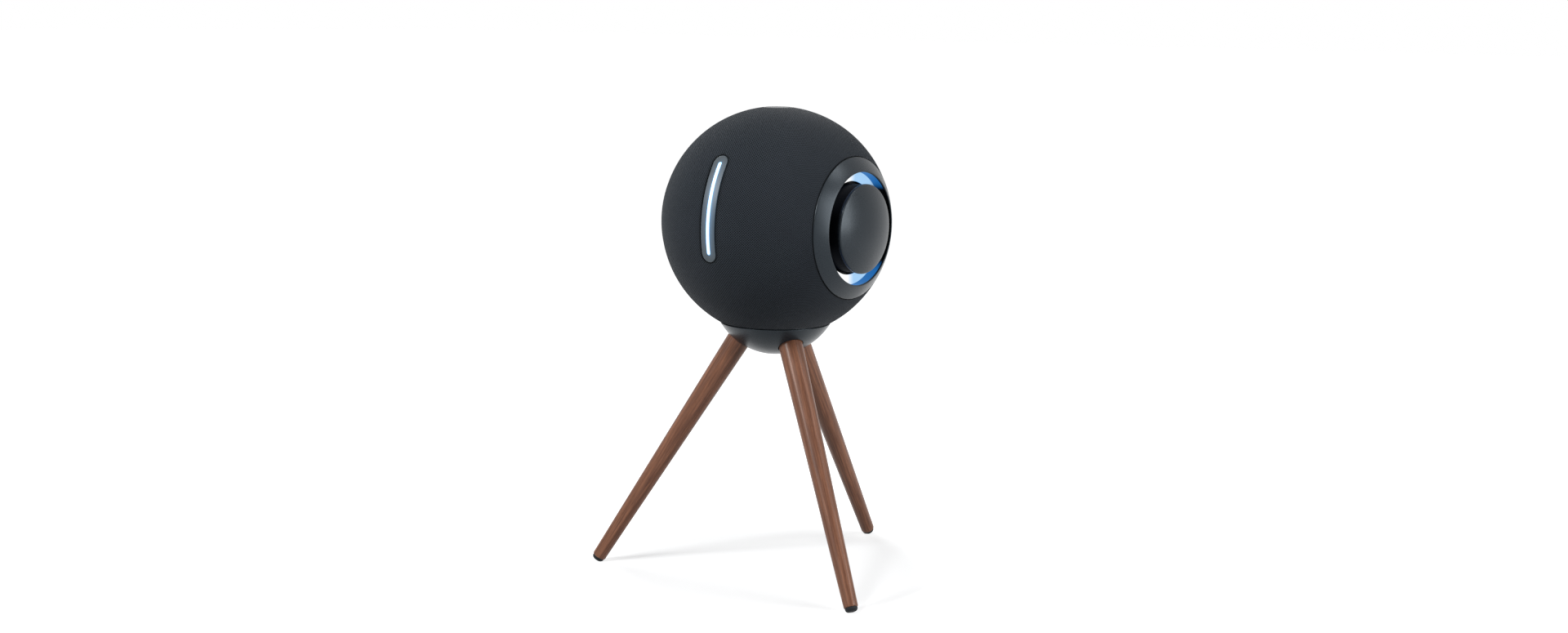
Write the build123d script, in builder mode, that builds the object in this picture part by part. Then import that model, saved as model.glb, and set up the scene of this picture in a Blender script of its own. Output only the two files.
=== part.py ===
from build123d import *
import os
from math import cos, radians, sin, sqrt

# Ball-shaped smart speaker on three tapered wooden legs.
# Millimetres, +Z up, light bar towards -Y. The origin is on the floor, under the ball's centre.
# An azimuth is counted from the front (-Y) towards +X.

# Ball and its layers, from the outside in
BALL_D = 250.0
BALL_HEIGHT = 386.0  # floor to the ball's centre
FABRIC_T = 0.8
GLUE_GAP = 0.2  # between neighbouring curved layers
GRILLE_T = 2.8
GRILLE_SPLIT = 0.3  # gap between the front and rear grille
GRILLE_SPACE = 5.2  # grille to cabinet
CABINET_WALL = 4.0
CABINET_RIM = 9.0  # depth of the inner flange where the cabinet halves meet
CABINET_RIM_T = 5.0  # thickness of that flange on each half
GASKET_T = 1.0
TOP_WELL = 15.0  # ball's top down to the cabinet's flat top

# Levels above the seam between ball and cup
SEAM_R = 61.0  # radius of the ball's lower edge
SEAM_GAP = 1.0  # shadow gap between fabric and cup
CLAMP_LIFT = 1.4  # seam to the underside of the grille's foot
GRILLE_FOOT_T = 2.2
GRILLE_FOOT_W = 9.5  # how far the grille's foot reaches in from the seam
HUB_T = 5.0
HUB_INSET = 3.0  # seam to the hub's edge
BOARD_LIFT = 6.0  # hub plate to main board
BAY_HEIGHT = 16.0  # hub plate to cabinet

# Cup under the ball
CUP_DEPTH = 35.8  # seam to the lowest point of the cup's sphere
CUP_T = 3.0
CUP_LIP_INSET = 3.5  # seam to the ring inside the cup's rim that clamps the grille's foot
CUP_LIP_T = 4.0
CUP_LIP_ROOT = 4.0  # how far that ring reaches below the seam
CUP_BOSS_WALL = 4.5
CUP_BOSS_T = 5.7  # cup's flat bottom to the top of the boss inside
CUP_BOSS_ROOT = 1.8  # cup's flat bottom to where the boss starts, inside the wall
CUP_RIM_ROUND = 0.6

# Legs
LEG_AZIMUTHS = {"front_left": -60.0, "front_right": 60.0, "rear": 180.0}
LEG_TILT = 31.8  # from the vertical
LEG_APEX_RISE = 9.3  # the leg axes meet this far above the cup's centre
LEG_TOP_R = 13.35
LEG_TIP_R = 7.6
LEG_INSERT = 15.0  # length of leg inside the cup
LEG_EDGE = 1.5  # round at the leg's lower end
LEG_SOCKET_FIT = 0.15  # radial, leg in socket
LEG_HOLE_GAP = 0.55  # radial, leg in the cup's hole
SOCKET_WALL = 3.5
SOCKET_GAP = 1.7  # end of the socket to the inside of the cup
STUD_R = 4.0
STUD_IN_HUB = 12.0
STUD_IN_LEG = 28.0
STUD_TIP_GAP = 2.0  # beyond the stud's ends
FOOT_LIFT = 1.2  # floor to the leg's lower corner, before its round
FOOT_INSET = 0.9  # leg's side to the foot's
FOOT_ROUND = 3.3
FOOT_FLAT = 0.6  # the floor cuts this much off the foot's round
FOOT_PIN_R = 2.5
FOOT_PIN_L = 9.0

# Power inlet and the nut that clamps the cup to the hub
INLET_BORE_R = 3.2
INLET_BORE_L = 10.5
INLET_NOSE_WALL = 1.0
INLET_NOSE_L = 0.8
INLET_SHOULDER = 1.8  # nose to body
INLET_L = 15.0
INLET_PIN_R = 1.0
INLET_PIN_L = 9.5
NUT_WALL = 2.0
NUT_NECK_L = 14.0
NUT_FLANGE = 1.2  # neck to the nut's edge
NUT_T = 2.0
NUT_GAP = 0.2
HUB_TUBE_WALL = 3.7
LEAD_R = 2.2
FIT = 0.1  # radial, between fixed round parts

# Screws
SCREW_R = 2.0
SCREW_HEAD_R = 3.4
SCREW_HEAD_T = 2.4
SCREW_FIT = 0.05  # radial, thread in its hole
WOOFER_SCREWS = 6
WOOFER_SCREW_GAP = 0.3  # trim ring's tube to the screw heads
WOOFER_SCREW_L = 12.0
HUB_SCREWS = 6
HUB_SCREW_INSET = 6.5  # cup's lip to the screws
POST_R = 5.0
POST_NECK_R = 3.4
RIM_SCREW_ANGLES = (25.0, 75.0, 125.0)  # from the top, on both sides

# Side woofer, outside
DOME_R = 47.6
RECESS_WIDTH = 12.4  # cap to the ring's lip
RECESS_DEPTH = 13.8
TRIM_BAND = 16.0  # visible width of the ring
TRIM_PROUD = 0.3
TRIM_GAP = 0.6  # fabric and grille to the ring
TRIM_LEDGE = 4.0  # how far the ring reaches under the grille
TRIM_LEDGE_T = 2.5
TRIM_TUBE_WALL = 2.6
TRIM_LIP_T = 2.2
TRIM_ROUND = 0.8
DOME_SETBACK = 1.0  # the cap's face lies this far inside the ball's surface
DOME_T = 1.8
DOME_SKIRT = 3.2
DOME_ROUND = 1.8

# Side woofer, light ring
LIGHT_STEP = 0.4  # the lit wall stands back behind the ring's lip
LIGHT_WALL = 1.6
LIGHT_FLOOR_T = 2.0
LIGHT_FOOT_T = 3.5
LIGHT_RUNNING_GAP = 2.2  # cap's radius to the lit floor
MIX_DEPTH = 3.2  # board to lit floor
BOARD_T = 1.6
BOARD_INSET = 1.2
DIODES = 24
DIODE_SIZE = 2.8
DIODE_T = 1.0

# Side woofer, inside
PISTON_INSET = 0.6  # cap's radius to the piston's
PISTON_T = 1.8
PISTON_LIP = 1.4
PISTON_LIP_T = 1.2
CONE_DEPTH = 13.2
CONE_T = 1.8
SURROUND_T = 0.8
SURROUND_ROLL = 3.4  # outer radius of the roll
SURROUND_BOND = 1.6  # inner edge that is glued to the piston's lip
SURROUND_CLEARANCE = 1.0  # roll to basket
FLANGE_T = 2.5
FLANGE_EDGE = 3.5  # screws to the flange's edge
BASKET_FIT = 0.5
BASKET_DEPTH = 24.0
BASKET_FLOOR_T = 2.5
BASKET_WALL = 2.5
BASKET_WINDOWS = 6
WINDOW_WIDTH = 26.0
WINDOW_HEIGHT = 8.0
SPIDER_DROP = 16.4  # seat to the spider's ledge
SPIDER_R = 46.5
SPIDER_LEDGE = 4.5
SPIDER_T = 0.8
COIL_R = 19.0
FORMER_T = 0.6
WINDING_T = 1.0
WINDING_L = 10.0
FORMER_TAIL = 1.5  # former beyond the winding
COIL_GAP = 0.8  # winding to top plate
POLE_GAP = 1.4  # former to pole
MOTOR_R = 43.0
TOP_PLATE_T = 6.0
MAGNET_T = 14.0
MAGNET_BORE_GAP = 2.1
YOKE_T = 6.0

# Tweeters behind the fabric, either side of the light bar
TWEETER_AZIMUTH = 28.0
TWEETER_DOME_R = 12.8
TWEETER_MOUTH_GAP = 1.7  # dome to the mouth's wall
TWEETER_WALL = 5.0
TWEETER_FLANGE_W = 5.5
TWEETER_FLANGE_T = 3.0
TWEETER_L = 22.0
TWEETER_FIT = 0.4
TWEETER_SEAT_WALL = 2.3
TWEETER_MOUTH_L = 5.5
TWEETER_DOME_CURVE = 20.0
TWEETER_DOME_T = 0.6
TWEETER_DOME_RISE = 1.5  # mouth's floor to the dome's edge
TWEETER_FORMER_L = 3.2  # former below the mouth's floor
TWEETER_SLOT_GAP = 0.4
TWEETER_SLOT_L = 4.5
GRILLE_HOLE_R = 1.5
GRILLE_HOLE_PITCH = 4.6
GRILLE_HOLE_ROWS = 7

# Light bar on the front meridian
BAR_LATITUDE = 11.2
STRIP_LENGTH = 98.3
STRIP_WIDTH = 4.5
STRIP_FIT = 0.05
STRIP_SETBACK = 0.3
STRIP_FLANGE = 2.0
STRIP_FLANGE_T = 1.6
BEZEL_END = 7.2  # bezel beyond the strip's ends
BEZEL_SIDE = 6.5  # bezel beside the strip
BAR_GAP = 0.5
BAR_FLANGE = 3.0
BAR_FLANGE_T = 1.8
BAR_LAYER_GAP = 0.1

# Button at the top
BUTTON_R = 13.1
BUTTON_GAP = 0.3
BUTTON_T = 3.0
BUTTON_SETBACK = 0.1
BUTTON_ROUND = 0.5
STEM_R = 2.0
STEM_FIT = 0.08
BUTTON_TRAVEL = 0.8
BUTTON_OVERTRAVEL = 0.2
COLLAR_T = 2.6
COLLAR_GAP = 0.4
COLLAR_WEB_T = 2.0
COLLAR_LEDGE = 4.0  # how far the collar reaches under the grille
COLLAR_TUBE_WALL = 2.5
SOUND_HOLES = 4
SOUND_HOLE_R = 0.6
CONTROL_BOARD_EDGE = 1.0  # board beyond the collar's tube
SWITCH_SIZE = 12.0
SWITCH_H = 5.6
SWITCH_FLOOR_T = 1.0

# Electronics in the bay under the cabinet
MAIN_BOARD_R = 66.0
SINK_SIZE = (44.0, 26.0)
SINK_BASE_T = 2.0
SINK_FINS = 7
SINK_FIN_T = 1.6
SINK_FIN_H = 5.2
SINK_GAP = 1.8  # to the rear posts
MODULE_SIZE = (22.0, 16.0, 3.0)
MODULE_Y = -26.0

BASE = (Align.CENTER, Align.CENTER, Align.MIN)
HANGING = (Align.CENTER, Align.CENTER, Align.MAX)


def rise(radius, reach):
    """Height of a sphere's surface over its centre, at a distance from its axis."""
    return sqrt(radius**2 - reach**2)


# Derived radii and levels
BALL_R = BALL_D / 2
GRILLE_R = BALL_R - FABRIC_T - GLUE_GAP
GRILLE_IN_R = GRILLE_R - GRILLE_T
CABINET_R = GRILLE_IN_R - GRILLE_SPACE
CABINET_IN_R = CABINET_R - CABINET_WALL
RIM_SCREW_CIRCLE = CABINET_IN_R - CABINET_RIM / 2
SEAM_Z = BALL_HEIGHT - rise(BALL_R, SEAM_R)
CLAMP_Z = SEAM_Z + CLAMP_LIFT
HUB_Z = CLAMP_Z + GRILLE_FOOT_T
HUB_TOP_Z = HUB_Z + HUB_T
BOARD_Z = HUB_TOP_Z + BOARD_LIFT
FLOOR_Z = HUB_TOP_Z + BAY_HEIGHT
CAP_Z = BALL_HEIGHT + BALL_R - TOP_WELL
BAY_TOP = FLOOR_Z - BALL_HEIGHT
CAP_TOP = CAP_Z - BALL_HEIGHT

INLET_NOSE_R = INLET_BORE_R + INLET_NOSE_WALL
INLET_R = INLET_NOSE_R + INLET_SHOULDER
NUT_NECK_R = INLET_R + FIT + NUT_WALL
NUT_R = NUT_NECK_R + NUT_FLANGE
HUB_BORE_R = NUT_NECK_R + FIT

CUP_R = (SEAM_R**2 + CUP_DEPTH**2) / (2 * CUP_DEPTH)
CUP_Z = SEAM_Z - CUP_DEPTH + CUP_R
CUP_FLAT_Z = CUP_Z - rise(CUP_R, NUT_R + NUT_GAP)
CUP_BOSS_R = NUT_R + NUT_GAP + CUP_BOSS_WALL
CUP_BOSS_Z = CUP_FLAT_Z + CUP_BOSS_T
CUP_LIP_R = SEAM_R - CUP_LIP_INSET
INLET_TOP_Z = CUP_FLAT_Z + INLET_L
GRILLE_FOOT_IN_R = SEAM_R - GRILLE_FOOT_W
HUB_R = SEAM_R - HUB_INSET
HUB_SCREW_CIRCLE = CUP_LIP_R - CUP_LIP_T - HUB_SCREW_INSET
SINK_Y = HUB_SCREW_CIRCLE * sin(radians(360 / HUB_SCREWS)) - POST_R - SINK_GAP - SINK_SIZE[1] / 2

TILT = radians(LEG_TILT)
LEG_APEX_Z = CUP_Z + LEG_APEX_RISE
CUP_S = LEG_APEX_RISE * cos(TILT) + rise(CUP_R, LEG_APEX_RISE * sin(TILT))
LEG_TOP_S = CUP_S - LEG_INSERT
LEG_FLOOR_S = LEG_APEX_Z / cos(TILT)
LEG_END_S = LEG_FLOOR_S - (FOOT_LIFT + LEG_TIP_R * sin(TILT)) / cos(TILT)
LEG_L = LEG_END_S - LEG_TOP_S
FOOT_R = LEG_TIP_R - FOOT_INSET
FOOT_ROUND_Z = FOOT_ROUND - FOOT_FLAT + (FOOT_R - FOOT_ROUND) * sin(TILT)
FOOT_END_S = (LEG_APEX_Z - FOOT_ROUND_Z) / cos(TILT) + FOOT_ROUND
SOCKET_START_S = (LEG_APEX_Z - HUB_TOP_Z) / cos(TILT)
SOCKET_R = LEG_TOP_R + LEG_SOCKET_FIT + SOCKET_WALL
SOCKET_REACH = LEG_APEX_RISE * sin(TILT) + SOCKET_R
SOCKET_END_S = LEG_APEX_RISE * cos(TILT) + rise(CUP_R - CUP_T - SOCKET_GAP, SOCKET_REACH)

OPENING_R = DOME_R + RECESS_WIDTH
TRIM_R = OPENING_R + TRIM_BAND
LIP_X = rise(BALL_R, OPENING_R)
LIGHT_X = LIP_X - RECESS_DEPTH
LIGHT_BOARD_X = LIGHT_X - LIGHT_FLOOR_T - MIX_DEPTH
EDGE_X = LIGHT_BOARD_X - BOARD_T
FLANGE_X = EDGE_X - SURROUND_T
SEAT_X = FLANGE_X - FLANGE_T
LIGHT_R = OPENING_R + LIGHT_STEP + LIGHT_WALL
LIGHT_IN_R = DOME_R + LIGHT_RUNNING_GAP
TRIM_TUBE_R = LIGHT_R + GLUE_GAP + TRIM_TUBE_WALL
WOOFER_SCREW_CIRCLE = TRIM_TUBE_R + WOOFER_SCREW_GAP + SCREW_HEAD_R
FLANGE_R = WOOFER_SCREW_CIRCLE + FLANGE_EDGE
PISTON_R = DOME_R - PISTON_INSET
ROLL_IN_R = PISTON_R + FIT + SURROUND_BOND
ROLL_MID_R = ROLL_IN_R + SURROUND_ROLL
ROLL_OUT_R = ROLL_MID_R + SURROUND_ROLL
BASKET_MOUTH_R = ROLL_OUT_R + SURROUND_CLEARANCE
BASKET_R = BASKET_MOUTH_R + BASKET_WALL
DOME_CURVE = BALL_R - DOME_SETBACK
DOME_BASE_X = rise(DOME_CURVE, DOME_R) - DOME_SKIRT
SPIDER_X = SEAT_X - SPIDER_DROP
TOP_PLATE_X = SEAT_X - BASKET_DEPTH
MAGNET_X = TOP_PLATE_X - TOP_PLATE_T
YOKE_X = MAGNET_X - MAGNET_T
COIL_OUT_R = COIL_R + FORMER_T
WINDING_X = TOP_PLATE_X - TOP_PLATE_T / 2
TOP_PLATE_BORE_R = COIL_OUT_R + WINDING_T + COIL_GAP

TWEETER_MOUTH_R = TWEETER_DOME_R + TWEETER_MOUTH_GAP
TWEETER_R = TWEETER_MOUTH_R + TWEETER_WALL
TWEETER_FLANGE_R = TWEETER_R + TWEETER_FLANGE_W
TWEETER_SEAT = rise(CABINET_IN_R, TWEETER_R + TWEETER_FIT) + TWEETER_SEAT_WALL
TWEETER_MOUTH = TWEETER_SEAT + TWEETER_FLANGE_T - TWEETER_MOUTH_L

BAR_LENGTH = STRIP_LENGTH + 2 * BEZEL_END
BAR_WIDTH = STRIP_WIDTH + 2 * BEZEL_SIDE
BAR_BACK_R = GRILLE_IN_R - GLUE_GAP - BAR_FLANGE_T
STRIP_R = BAR_BACK_R - BAR_LAYER_GAP
STRIP_BACK_R = STRIP_R - STRIP_FLANGE_T

COLLAR_R = BUTTON_R + BUTTON_GAP + COLLAR_T
COLLAR_TUBE_R = COLLAR_R + COLLAR_LEDGE
CONTROL_BOARD_R = COLLAR_TUBE_R + CONTROL_BOARD_EDGE
COLLAR_SEAT_Z = BALL_HEIGHT + rise(GRILLE_IN_R, COLLAR_TUBE_R) - GLUE_GAP
BUTTON_TOP_Z = BALL_HEIGHT + rise(BALL_R, BUTTON_R + BUTTON_GAP) - BUTTON_SETBACK
CONTROL_TOP_Z = CAP_Z + BOARD_T
STEM_END_Z = CONTROL_TOP_Z + SWITCH_FLOOR_T + BUTTON_TRAVEL + BUTTON_OVERTRAVEL

CENTRE = Vector(0, 0, BALL_HEIGHT)
BALL = Plane(origin=CENTRE)
BAR = Plane(
    origin=CENTRE,
    x_dir=(1, 0, 0),
    z_dir=(0, -cos(radians(BAR_LATITUDE)), sin(radians(BAR_LATITUDE))),
)
SIDES = {"right": 90.0, "left": -90.0}
TWEETERS = {"right": TWEETER_AZIMUTH, "left": -TWEETER_AZIMUTH}


def aim(azimuth):
    """Level unit vector from the ball's axis towards an azimuth."""
    return Vector(sin(radians(azimuth)), -cos(radians(azimuth)), 0)


def face(azimuth, out=0.0):
    """Plane square to an azimuth, at a distance out from the ball's centre."""
    return Plane(origin=CENTRE + aim(azimuth) * out, x_dir=(0, 0, 1), z_dir=aim(azimuth))


def section(azimuth):
    """Section through a driver: x is the radius from its axis, y the distance out from the centre."""
    return Plane(origin=CENTRE, x_dir=(0, 0, 1), z_dir=Vector(0, 0, 1).cross(aim(azimuth)))


def leg_plane(azimuth, along):
    """Plane square to a leg, at a distance down its axis from where the three axes meet."""
    down = aim(azimuth) * sin(TILT) - Vector(0, 0, cos(TILT))
    across = Vector(0, 0, 1).cross(aim(azimuth))
    return Plane(origin=Vector(0, 0, LEG_APEX_Z) + down * along, x_dir=across, z_dir=down)


def turned(azimuth, *points):
    """A driver's piece turned about its axis from a closed outline in its section."""
    with BuildPart() as piece:
        with BuildSketch(section(azimuth)):
            with BuildLine():
                Polyline(*points, close=True)
            make_face()
        revolve(axis=Axis(CENTRE, aim(azimuth)))
    return piece


def save(piece, name):
    """Label a finished piece and write it as its own file."""
    piece.part.label = name
    export_step(piece.part, f"parts/{name}.step")


os.makedirs("parts", exist_ok=True)

# Fabric skin with openings for the rings, the bar, the button and the cup
with BuildPart(BALL) as fabric_cover:
    Sphere(BALL_R)
    Sphere(BALL_R - FABRIC_T, mode=Mode.SUBTRACT)
    Cylinder(TRIM_R + TRIM_GAP, BALL_D, rotation=(0, 90, 0), mode=Mode.SUBTRACT)
    Cylinder(COLLAR_R + COLLAR_GAP, BALL_R, align=BASE, mode=Mode.SUBTRACT)
    with Locations((0, 0, SEAM_Z - BALL_HEIGHT)):
        Cylinder(BALL_R, BALL_R, align=HANGING, mode=Mode.SUBTRACT)
    with BuildSketch(BAR):
        SlotOverall(BAR_LENGTH + 2 * BAR_GAP, BAR_WIDTH + 2 * BAR_GAP, rotation=90)
    extrude(amount=BALL_D, mode=Mode.SUBTRACT)
save(fabric_cover, "fabric_cover")

# Grille that carries the fabric, before it is split into front and rear
with BuildPart(BALL) as grille:
    Sphere(GRILLE_R)
    Sphere(GRILLE_IN_R, mode=Mode.SUBTRACT)
    with Locations((0, 0, CLAMP_Z - BALL_HEIGHT)):
        Cylinder(SEAM_R, GRILLE_FOOT_T, align=BASE)
        Cylinder(BALL_R, BALL_R, align=HANGING, mode=Mode.SUBTRACT)
    Cylinder(GRILLE_FOOT_IN_R, BALL_R, align=HANGING, mode=Mode.SUBTRACT)
    Cylinder(TRIM_R + TRIM_GAP, BALL_D, rotation=(0, 90, 0), mode=Mode.SUBTRACT)
    Cylinder(COLLAR_R + COLLAR_GAP, BALL_R, align=BASE, mode=Mode.SUBTRACT)
    with BuildSketch(BAR):
        SlotOverall(BAR_LENGTH + 2 * BAR_GAP, BAR_WIDTH + 2 * BAR_GAP, rotation=90)
    extrude(amount=BALL_D, mode=Mode.SUBTRACT)
    for azimuth in TWEETERS.values():
        with BuildSketch(face(azimuth)):
            with HexLocations(GRILLE_HOLE_PITCH / 2, GRILLE_HOLE_ROWS, GRILLE_HOLE_ROWS):
                Circle(GRILLE_HOLE_R)
        extrude(amount=BALL_D, mode=Mode.SUBTRACT)

with BuildPart() as grille_front:
    add(grille.part)
    split(bisect_by=Plane.XZ.offset(GRILLE_SPLIT / 2), keep=Keep.TOP)
save(grille_front, "grille_front")

with BuildPart() as grille_rear:
    add(grille.part)
    split(bisect_by=Plane.XZ.offset(-GRILLE_SPLIT / 2), keep=Keep.BOTTOM)
save(grille_rear, "grille_rear")

# Flat floor and top of the cabinet, which reach halfway into its wall
with BuildPart() as cabinet_plates:
    with Locations((0, 0, FLOOR_Z)):
        Cylinder(rise(CABINET_IN_R + CABINET_WALL / 2, BAY_TOP), CABINET_WALL, align=BASE)
    with Locations((0, 0, CAP_Z)):
        Cylinder(rise(CABINET_IN_R + CABINET_WALL / 2, CAP_TOP), CABINET_WALL, align=HANGING)
    with Locations(CENTRE):
        Box(2 * SEAT_X - CABINET_WALL, BALL_D, BALL_D, mode=Mode.INTERSECT)

# Cabinet with seats for the woofers and tweeters, before it is split: the inner flange is at the middle
seat_r = rise(CABINET_R, SEAT_X)
wall_x = SEAT_X - CABINET_WALL
wall_r = rise(CABINET_IN_R, wall_x)
rim_x = CABINET_RIM_T + GASKET_T / 2
rim_r = rise(CABINET_IN_R, rim_x)
bend_x = (wall_x + rim_x) / 2
bend_r = rise(CABINET_IN_R, bend_x)
hole_r = BASKET_R + BASKET_FIT
with BuildPart() as cabinet:
    with BuildSketch(section(SIDES["right"])):
        with BuildLine():
            ThreePointArc((seat_r, SEAT_X), (CABINET_R, 0), (seat_r, -SEAT_X))
            Polyline((seat_r, -SEAT_X), (hole_r, -SEAT_X), (hole_r, -wall_x), (wall_r, -wall_x))
            ThreePointArc((wall_r, -wall_x), (bend_r, -bend_x), (rim_r, -rim_x))
            Polyline(
                (rim_r, -rim_x),
                (CABINET_IN_R - CABINET_RIM, -rim_x),
                (CABINET_IN_R - CABINET_RIM, rim_x),
                (rim_r, rim_x),
            )
            ThreePointArc((rim_r, rim_x), (bend_r, bend_x), (wall_r, wall_x))
            Polyline((wall_r, wall_x), (hole_r, wall_x), (hole_r, SEAT_X), (seat_r, SEAT_X))
        make_face()
    revolve(axis=Axis(CENTRE, aim(SIDES["right"])))
    with Locations((0, 0, FLOOR_Z)):
        Box(BALL_D, BALL_D, CAP_Z - FLOOR_Z, align=BASE, mode=Mode.INTERSECT)
    add(cabinet_plates.part)
    for azimuth in SIDES.values():
        with Locations(face(azimuth, SEAT_X)):
            with PolarLocations(WOOFER_SCREW_CIRCLE, WOOFER_SCREWS):
                Cylinder(SCREW_R + SCREW_FIT, WOOFER_SCREW_L, align=HANGING, mode=Mode.SUBTRACT)
    for azimuth in TWEETERS.values():
        with Locations(face(azimuth, TWEETER_SEAT)):
            Cylinder(TWEETER_FLANGE_R + TWEETER_FIT, CABINET_R, align=BASE, mode=Mode.SUBTRACT)
            Cylinder(TWEETER_R + TWEETER_FIT, 2 * TWEETER_L, mode=Mode.SUBTRACT)
    with Locations((0, 0, FLOOR_Z)):
        with PolarLocations(HUB_SCREW_CIRCLE, HUB_SCREWS):
            Cylinder(SCREW_R + SCREW_FIT, 2 * CABINET_WALL, mode=Mode.SUBTRACT)
    with Locations(face(SIDES["right"])):
        for angle in RIM_SCREW_ANGLES:
            with PolarLocations(RIM_SCREW_CIRCLE, 2, -angle, 2 * angle, endpoint=True):
                Cylinder(SCREW_R + SCREW_FIT, 4 * CABINET_RIM_T, mode=Mode.SUBTRACT)

with BuildPart() as cabinet_right:
    add(cabinet.part)
    split(bisect_by=Plane.YZ.offset(GASKET_T / 2), keep=Keep.TOP)
save(cabinet_right, "cabinet_right")

with BuildPart() as cabinet_left:
    add(cabinet.part)
    split(bisect_by=Plane.YZ.offset(-GASKET_T / 2), keep=Keep.BOTTOM)
save(cabinet_left, "cabinet_left")

with BuildPart() as cabinet_gasket:
    add(cabinet.part)
    split(bisect_by=Plane.YZ.offset(-GASKET_T / 2), keep=Keep.TOP)
    split(bisect_by=Plane.YZ.offset(GASKET_T / 2), keep=Keep.BOTTOM)
save(cabinet_gasket, "cabinet_gasket")

# Screws that pull the cabinet halves together, reached through the woofer holes
with BuildPart() as cabinet_screws:
    for angle in RIM_SCREW_ANGLES:
        with Locations(face(SIDES["right"], CABINET_RIM_T + GASKET_T / 2)):
            with PolarLocations(RIM_SCREW_CIRCLE, 2, -angle, 2 * angle, endpoint=True):
                Cylinder(SCREW_HEAD_R, SCREW_HEAD_T, align=BASE)
                Cylinder(SCREW_R, 2 * CABINET_RIM_T, align=HANGING)
save(cabinet_screws, "cabinet_screws")


def make_trim_ring(hand, azimuth):
    """Ring that follows the ball, with a ledge under the grille and a tube to the basket's flange."""
    with BuildPart(face(azimuth)) as ring:
        Cylinder(TRIM_R + TRIM_LEDGE, BALL_R, align=BASE)
        Sphere(GRILLE_IN_R - GLUE_GAP, mode=Mode.INTERSECT)
        Cylinder(TRIM_R, BALL_D, align=BASE)
        Sphere(BALL_R + TRIM_PROUD, mode=Mode.INTERSECT)
        Sphere(GRILLE_IN_R - GLUE_GAP - TRIM_LEDGE_T, mode=Mode.SUBTRACT)
        with Locations((0, 0, FLANGE_X)):
            Cylinder(TRIM_TUBE_R, rise(GRILLE_IN_R, TRIM_TUBE_R) - FLANGE_X, align=BASE)
            Cylinder(LIGHT_R + GLUE_GAP, LIP_X - TRIM_LIP_T - FLANGE_X, align=BASE, mode=Mode.SUBTRACT)
        Cylinder(OPENING_R, BALL_D, align=BASE, mode=Mode.SUBTRACT)
        circles = ring.edges().filter_by(GeomType.CIRCLE)
        rims = circles.filter_by(lambda edge: abs(edge.radius - OPENING_R) < FIT)
        fillet(rims.sort_by(Axis(CENTRE, aim(azimuth)))[-1], TRIM_ROUND)
    save(ring, f"{hand}_trim_ring")


def make_light_ring(hand, azimuth):
    """Translucent lining of the recess: lit floor, lit wall and a foot on the board."""
    light_ring = turned(
        azimuth,
        (LIGHT_IN_R, LIGHT_X - LIGHT_FLOOR_T),
        (LIGHT_IN_R, LIGHT_X),
        (OPENING_R + LIGHT_STEP, LIGHT_X),
        (OPENING_R + LIGHT_STEP, LIP_X - TRIM_LIP_T - GLUE_GAP),
        (LIGHT_R, LIP_X - TRIM_LIP_T - GLUE_GAP),
        (LIGHT_R, LIGHT_BOARD_X),
        (LIGHT_R - LIGHT_FOOT_T, LIGHT_BOARD_X),
        (LIGHT_R - LIGHT_FOOT_T, LIGHT_X - LIGHT_FLOOR_T),
    )
    save(light_ring, f"{hand}_light_ring")


def make_light_board(hand, azimuth):
    """Ring-shaped board with light diodes, on the surround's edge."""
    with BuildPart(face(azimuth, EDGE_X)) as board:
        Cylinder(LIGHT_R - GLUE_GAP, BOARD_T, align=BASE)
        Cylinder(LIGHT_IN_R + BOARD_INSET, BOARD_T, align=BASE, mode=Mode.SUBTRACT)
        with Locations((0, 0, BOARD_T)):
            with PolarLocations((LIGHT_IN_R + LIGHT_R - LIGHT_FOOT_T) / 2, DIODES):
                Box(DIODE_SIZE, DIODE_SIZE, DIODE_T, align=BASE)
    save(board, f"{hand}_light_board")


def make_dome(hand, azimuth):
    """Cap whose face follows the ball, with a short skirt and a rounded edge."""
    inner_r = DOME_R - DOME_T
    inner_curve = DOME_CURVE - DOME_T
    half_r = DOME_R / 2
    with BuildPart() as dome:
        with BuildSketch(section(azimuth)):
            with BuildLine():
                skirt = Polyline(
                    (DOME_R, rise(DOME_CURVE, DOME_R)),
                    (DOME_R, DOME_BASE_X),
                    (inner_r, DOME_BASE_X),
                    (inner_r, rise(inner_curve, inner_r)),
                )
                ThreePointArc(skirt @ 1, (half_r, rise(inner_curve, half_r)), (0, inner_curve))
                Line((0, inner_curve), (0, DOME_CURVE))
                ThreePointArc((0, DOME_CURVE), (half_r, rise(DOME_CURVE, half_r)), skirt @ 0)
            make_face()
        revolve(axis=Axis(CENTRE, aim(azimuth)))
        circles = dome.edges().filter_by(GeomType.CIRCLE)
        rims = circles.filter_by(lambda edge: abs(edge.radius - DOME_R) < FIT)
        fillet(rims.sort_by(Axis(CENTRE, aim(azimuth)))[-1], DOME_ROUND)
    save(dome, f"{hand}_dome")


def make_piston(hand, azimuth):
    """Black skirt under the cap, its glue lip for the surround, and the cone down to the coil."""
    neck = COIL_OUT_R + FIT
    piston = turned(
        azimuth,
        (PISTON_R - PISTON_T, DOME_BASE_X),
        (PISTON_R, DOME_BASE_X),
        (PISTON_R, FLANGE_X),
        (PISTON_R + PISTON_LIP, FLANGE_X),
        (PISTON_R + PISTON_LIP, FLANGE_X - PISTON_LIP_T),
        (PISTON_R, FLANGE_X - PISTON_LIP_T),
        (neck + CONE_T, FLANGE_X - CONE_DEPTH),
        (neck, FLANGE_X - CONE_DEPTH),
        (neck, FLANGE_X - CONE_DEPTH + CONE_T),
        (PISTON_R - PISTON_T, FLANGE_X + PISTON_LIP_T),
    )
    save(piston, f"{hand}_piston")


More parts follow.
